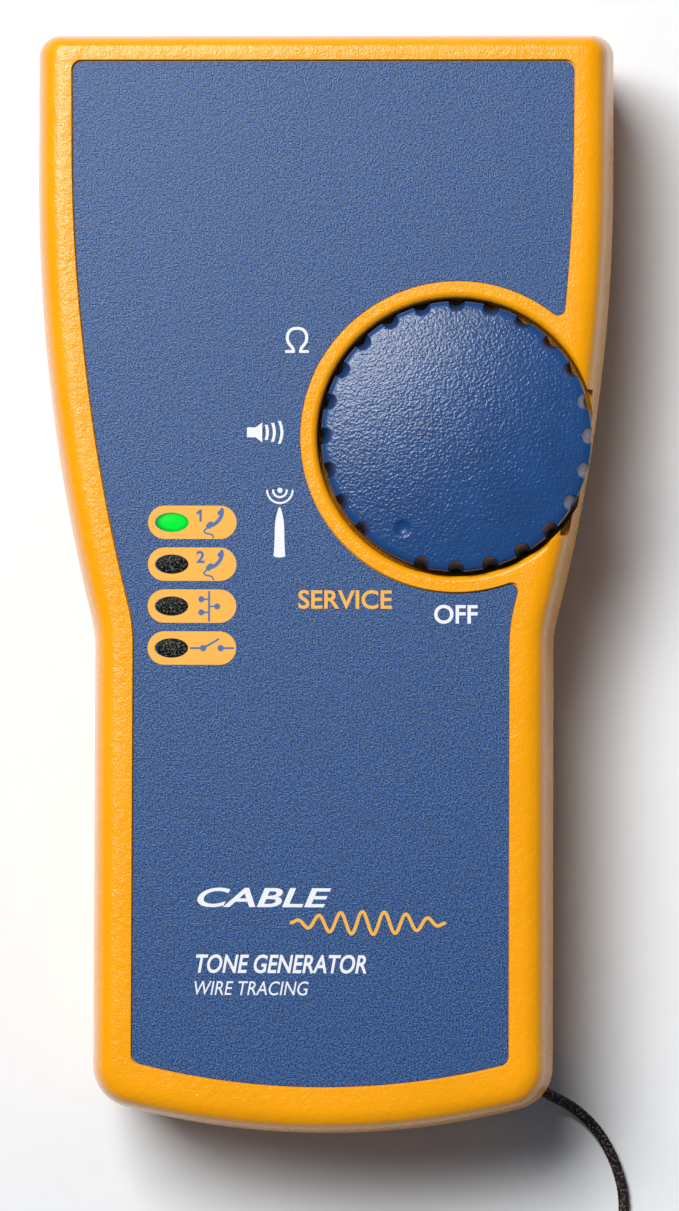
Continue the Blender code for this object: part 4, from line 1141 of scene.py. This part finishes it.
def notch_ring(radius, notch_centre, z):
    """One level of the knob's edge, with round notches whose centres lie notch_centre out."""
    bite, swing = 0.5, 0.0
    r, d, n = radius, notch_centre, NOTCH_R
    if d - n < r:
        bite = degrees(acos((r**2 + d**2 - n**2) / (2 * r * d)))
        swing = degrees(acos((d**2 + n**2 - r**2) / (2 * d * n)))
    points = []
    for i in range(round(360 / NOTCH_PITCH)):
        bearing = POINTER_ANGLE + i * NOTCH_PITCH
        if i == 0 or swing == 0.0:
            points += arc(KNOB.x, KNOB.y, r, bearing - bite, bearing + bite, 12)
        else:
            back = bearing + 180
            points += arc(*from_knob(d, bearing), n, back + swing, back - swing, 12)
        points += arc(KNOB.x, KNOB.y, r, bearing + bite, bearing + NOTCH_PITCH - bite, 9)[1:-1]
    return lift(points, z)


def crown_point(radius, bearing):
    """A point on the knob's domed face, with the pointer's dimple pressed into it."""
    x, y = from_knob(radius, bearing)
    z = RIM_Z + CROWN_HEIGHT * (1 - (radius / 16.4) ** 2) + 0.03
    z += 0.012 * noise.noise(Vector((x, y, 0.0)) * 1.5)
    dimple_x, dimple_y = from_knob(POINTER_R, POINTER_ANGLE)
    away = hypot(x - dimple_x, y - dimple_y)
    if away < DIMPLE_R:
        z -= 0.42 * (1 - (away / DIMPLE_R) ** 2) ** 0.8
    elif away < 1.3:
        z += 0.03 * sin(pi * (away - DIMPLE_R) / 0.25)
    return x, y, z


def make_knob():
    """The knob: a notched skirt, a face that turns from notched to round, and a hollow below."""
    rings = [notch_ring(KNOB_R - inset, KNOB_R + shift, z) for z, inset, shift in (
        (KNOB_LOW.z, 0.4, 1.0), (KNOB_LOW.z + 0.25, 0.08, 1.0), (25.5, 0.0, 0.92),
        (27.5, 0.0, 0.72), (29.0, 0.0, 0.42), (29.8, 0.0, 0.12), (30.1, 0.04, 0.0),
        (30.3, 0.14, -0.08), (30.45, 0.28, -0.15), (30.55, 0.44, -0.2), (RIM_Z, 0.62, -0.24),
        (RIM_Z + 0.03, 0.75, -0.27),
    )]
    rim = [Vector(point).xy - KNOB.xy for point in rings[-1]]
    bearings = [bearing_of(way) for way in rim]
    for i in range(1, 6):
        rings.append([
            crown_point(way.length + (CROWN_R - way.length) * i / 5, bearing)
            for way, bearing in zip(rim, bearings)
        ])
    radius = CROWN_R
    while radius > 0.5:
        radius -= 0.22 if radius > 3 else 0.4
        rings.append([crown_point(radius, bearing) for bearing in bearings])
    knob = loft("knob_cap", KNOB_BLUE, rings, 45)

    bm = bmesh.new()
    hollow = [
        [bm.verts.new((x, y, z)) for x, y in circle(KNOB.x, KNOB.y, r, 72)]
        for r, z in ((5.2, 22.1), (15.3, 22.1), (15.3, 27.6), (13.8, 28.8), (5.2, 28.8))
    ]
    for a, b in zip(hollow, hollow[1:] + hollow[:1]):
        add_band(bm, a, b)
    cutter = from_bmesh("knob_hollow", bm, None)
    carve(knob, [cutter, disc("knob_socket", 3.3, KNOB, 22.1, 29.3)], sharp=45)
    settle(knob, "selector", "knob_blue", "selector_knob")


# ---------------------------------------------------------------- screws, sockets, battery, door

SHANK_R = 1.1
SCREW_PITCH = 0.8
COAX_PITCH = 0.794
CONTACT_PITCH = 1.02
CELL_TOP_Y = -17.5


def make_screw(node, body, name):
    """A pan-head cross-recess screw with a rolled thread, its head below."""
    low, high = span(node)
    place = middle(node)
    head_r = (high.x - low.x) / 2
    thick = 1.3 if node == "door_screw" else 1.8
    head_high = low.z + thick
    rings = [lift(circle(place.x, place.y, r, 40), z) for r, z in (
        (head_r * 0.55, low.z), (head_r * 0.78, low.z + 0.07), (head_r * 0.92, low.z + 0.24),
        (head_r, low.z + 0.55), (head_r, head_high), (SHANK_R - 0.15, head_high),
        (SHANK_R - 0.15, head_high + 0.6),
    )]
    z = head_high + 0.7
    while z < high.z - 1.0:
        ring = []
        for i in range(40):
            angle = 2 * pi * i / 40
            wave = abs(((z / SCREW_PITCH - i / 40) % 1) * 2 - 1)
            r = SHANK_R - 0.3 + 0.3 * wave**2
            ring.append((place.x + r * cos(angle), place.y + r * sin(angle), z))
        rings.append(ring)
        z += 0.16
    for r, z in ((0.6, high.z - 0.6), (0.05, high.z)):
        rings.append(lift(circle(place.x, place.y, r, 40), z))
    screw = loft(name, STEEL, rings)
    cutters = []
    for along in (True, False):
        shape = []
        for z, share in ((low.z - 0.4, 1.12), (low.z + min(1.1, thick - 0.25), 0.55)):
            half = (head_r * 0.58 * share, 0.3) if along else (0.3, head_r * 0.58 * share)
            half = Vector(half)
            shape.append(lift(rectangle(place.xy - half, place.xy + half), z))
        cutters.append(loft(f"{name}_cross_{along}", None, shape))
    carve(screw, cutters)
    settle(screw, body, "steel", node)


def make_modular_jack(node, mouth_half, mouth_low, mouth_high, contacts):
    """A modular socket: a funnelled mouth with a latch way, and a comb of sprung gold wires."""
    low, high = span(f"{node}_jack")
    x, face = (low.x + high.x) / 2, high.y
    back = face - 12.4

    def mouth(half, bottom, top, back):
        return loft(f"{node}_mouth_{half}", None, [
            upright(rectangle((x - half, bottom), (x + half, top), -grow), y) for y, grow in (
                (back, 0.0), (face - 0.45, 0.0), (face + 0.01, 0.45), (face + 2, 0.45),
            )
        ])

    cutters = [
        mouth(mouth_half, mouth_low, mouth_high, back),
        mouth(2.2, mouth_low - 1.2, mouth_low + 1.0, back + 1.5),
    ]
    for rib_x in (x - mouth_half - 1.4, x + mouth_half + 1.4):
        cutters.append(box(
            f"{node}_rib_{rib_x}", None, (rib_x - 0.35, face - 0.4, mouth_low + 1),
            (rib_x + 0.35, face + 2, mouth_high - 1),
        ))
    jack = carve(box(f"{node}_socket", BLACK, low, high, 0.25), cutters)
    settle(jack, "case", "black_plastic", f"{node}_jack")

    low, high = span(f"{node}_contacts")
    bm = bmesh.new()
    for i in range(contacts):
        px = x + (i - (contacts - 1) / 2) * CONTACT_PITCH
        sweep(bm, smooth_line([
            (px, low.y + 0.4, high.z - 0.22), (px, low.y + 1.8, high.z - 0.22),
            (px, low.y + 3.6, high.z - 0.42), (px, high.y - 1.2, high.z - 1.0),
            (px, high.y - 0.25, high.z - 1.3),
        ], 6), lambda along, angle: 0.23, 10)
    wires = from_bmesh(f"{node}_wires", bm, GOLD, 50)
    settle(wires, "case", "gold_plate", f"{node}_contacts")
    comb_low = (low.x, low.y + 0.02, high.z - 0.62)
    comb = box(f"{node}_comb", BLACK, comb_low, (high.x, low.y + 1.5, high.z + 0.3), 0.12)
    settle(comb, "case", "black_plastic")


def make_coax():
    """A coaxial socket: a block with a round well, and a barrel with a helical thread."""
    low, high = span("coax_housing")
    centre = middle("coax_barrel")
    well = turned("coax_well", None, [
        (0, 59.2), (6.1, 59.2), (6.1, high.y - 0.5), (6.6, high.y + 0.01), (6.6, high.y + 3),
        (0, high.y + 3),
    ], (centre.x, 0, centre.z), 64, axis="Y")
    front = box("coax_front", None, (low.x, 59.2, 3.3), high, 0.25)
    block = box("coax_block", BLACK, low, (high.x, high.y - 3.0, high.z), 0.25)
    carve(block, [front], "UNION")
    carve(block, [well])
    settle(block, "case", "black_plastic", "coax_housing")

    low, high = span("coax_barrel")
    radius = (high.x - low.x) / 2
    root = radius - 0.45

    def level(y, radius, thread=0.0):
        ring = []
        for i in range(64):
            angle = 2 * pi * i / 64
            r = radius + thread * abs(((y / COAX_PITCH - i / 64) % 1) * 2 - 1)
            ring.append((centre.x + r * cos(angle), y, centre.z + r * sin(angle)))
        return ring

    rings = [level(low.y, radius), level(low.y + 1.1, radius), level(low.y + 1.15, root)]
    y = low.y + 1.3
    while y < high.y - 0.7:
        rings.append(level(y, root, 0.45))
        y += 0.1
    rings += [level(y, r) for y, r in (
        (high.y - 0.55, radius - 0.4), (high.y - 0.1, radius - 0.55), (high.y, radius - 0.7),
        (high.y, 3.75), (high.y - 0.15, 3.6), (low.y + 1.2, 3.6),
    )]
    settle(loft("threaded_barrel", STEEL, rings, 40), "case", "steel", "coax_barrel")


def make_battery():
    """A block cell: wrapped body, copper-coloured band, rolled seams and two snap studs."""
    low, high = span("battery_9v")
    top = CELL_TOP_Y

    def rings_of(levels):
        return [
            upright(rounded_box(low.xz, high.xz, 2.0 - inset * 0.6, inset), y)
            for y, inset in levels
        ]

    wrap = loft("cell_wrap", WRAP, rings_of([
        (low.y, 1.4), (low.y + 0.05, 0.6), (low.y + 0.4, 0.15), (low.y + 0.9, 0.0),
        (low.y + 1.2, 0.12), (top - 14.5, 0.12),
    ]))
    settle(wrap, "case", "battery_wrap", "battery_9v")
    band = loft("cell_band", COPPER, rings_of([
        (top - 14.5, 0.12), (top - 14.3, 0.08), (top - 1.2, 0.08), (top - 0.9, 0.0),
        (top - 0.4, 0.15), (top - 0.05, 0.6), (top - 0.02, 1.6), (top - 0.3, 1.9),
    ]))
    settle(band, "case", "battery_wrap")

    for name, x, sides, sharp, profile in (
        ("stud_male", -6.35, 40, SHARP, [
            (0, -0.5), (3.4, -0.5), (3.4, -0.1), (2.5, 0.05), (2.35, 0.7), (2.75, 1.2), (2.9, 1.6),
            (2.6, 2.0), (1.5, 2.1), (0, 2.1),
        ]),
        ("stud_female", 6.35, 6, 25, [
            (0, -0.5), (4.0, -0.5), (4.0, 0), (3.5, 0.15), (3.55, 1.2), (3.9, 2.0), (3.7, 2.1),
            (3.1, 2.0), (2.9, 0.7), (0, 0.6),
        ]),
    ):
        centre = (x, top, (low.z + high.z) / 2)
        stud = turned(name, STEEL, profile, centre, sides, axis="Y", sharp=sharp)
        settle(stud, "case", "steel")


def make_door():
    """Battery door with round corners, a ribbed grip, two hooks and a screw boss."""
    low, high = span("battery_door")
    top = 1.4
    door = loft("door_plate", YELLOW, [
        lift(rounded_box((low.x, DOOR_LOW_Y), high, 1.4 - inset * 0.5, inset), z) for z, inset in (
            (low.z, 0.45), (low.z + 0.08, 0.18), (low.z + 0.3, 0.0), (top - 0.06, 0.0), (top, 0.08),
        )
    ])
    extras = [disc("door_boss", 4.2, DOOR_SCREW, top - 0.4, 3.2, 48)]
    for x in HOOKS_X:
        for part, start, stop, under, over in (
            ("foot", 0.2, 1.6, top - 0.4, 2.9), ("hook", -2.2, 1.5, 1.9, 2.8),
        ):
            extras.append(box(
                f"{part}_{x}", None, (x - 2.5, DOOR_LOW_Y + start, under),
                (x + 2.5, DOOR_LOW_Y + stop, over),
            ))
    for y in (-54.0, -46.5, -39.0, -31.5, -24.0):
        for x in (-13.2, 10.2):
            extras.append(box(
                f"stiffener_{x}_{y}", None, (x, y - 0.45, top - 0.3), (x + 3.0, y + 0.45, top + 0.7)
            ))
    carve(door, extras, "UNION")
    head_hole = [(0, -2), (3.1, -2), (3.1, low.z), (2.8, low.z + 0.3), (2.8, 1.9), (0, 1.9)]
    cutters = [
        turned("door_head_hole", None, head_hole, (DOOR_SCREW.x, DOOR_SCREW.y, 0), 48),
        disc("door_shank_hole", 1.4, DOOR_SCREW, 0, 6),
    ]
    for i in range(7):
        y = -19.0 + 1.5 * i
        half = 9.5 - 0.25 * abs(i - 3) ** 1.6
        cutters.append(loft(f"grip_{i}", None, [
            lift(rounded_box((-half + inset, y - wide), (half - inset, y + wide), corner, 0, 5), z)
            for inset, wide, corner, z in (
                (0, 0.48, 0.46, -1), (0, 0.42, 0.4, low.z + 0.01), (0.2, 0.22, 0.2, low.z + 0.45),
            )
        ]))
    carve(door, cutters)
    weigh_normals(door)
    settle(door, "door", "case_yellow", "battery_door")


def dress_inner_nodes():
    """Gives each CAD node that stays its own worked finish."""
    finishes = {
        STEEL: ["board_screw_1", "board_screw_2", "detent_spring", "crystal", "lanyard_pin"],
        GOLD: ["switch_wiper"],
        BLACK: ["switch_base", "microcontroller", "line_driver", "relay", "battery_snap",
                "battery_lead_black"],
        GREY: ["switch_cover", "coupling_transformer"],
        WHITE: ["switch_rotor", "coax_insulator", *[f"status_led_{i}" for i in (1, 2, 3, 4)]],
        GREEN: ["main_board"],
        WRAP: ["capacitor"],
        FOAM: ["door_foam"],
        RED: ["battery_lead_red"],
    }
    for paint, names in finishes.items():
        for name in names:
            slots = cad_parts[name].data.materials
            for i in range(len(slots)):
                slots[i] = paint
            if not slots:
                slots.append(paint)


make_camera()
make_light()
make_floor()
make_lanyard()
make_front_shell()
make_rear_shell()
make_label()
make_dial_symbols()
make_lamp_badges()
make_wording()
make_lenses()
make_knob()
for number, screw_node in enumerate(CASE_SCREWS, 1):
    make_screw(screw_node, "case", f"cross_screw_{number}")
make_screw("door_screw", "door", "cross_screw_5")
make_modular_jack("network", 5.9, 5.6, 13.6, 8)
make_modular_jack("phone", 4.9, 6.0, 13.0, 6)
make_coax()
make_battery()
make_door()
dress_inner_nodes()
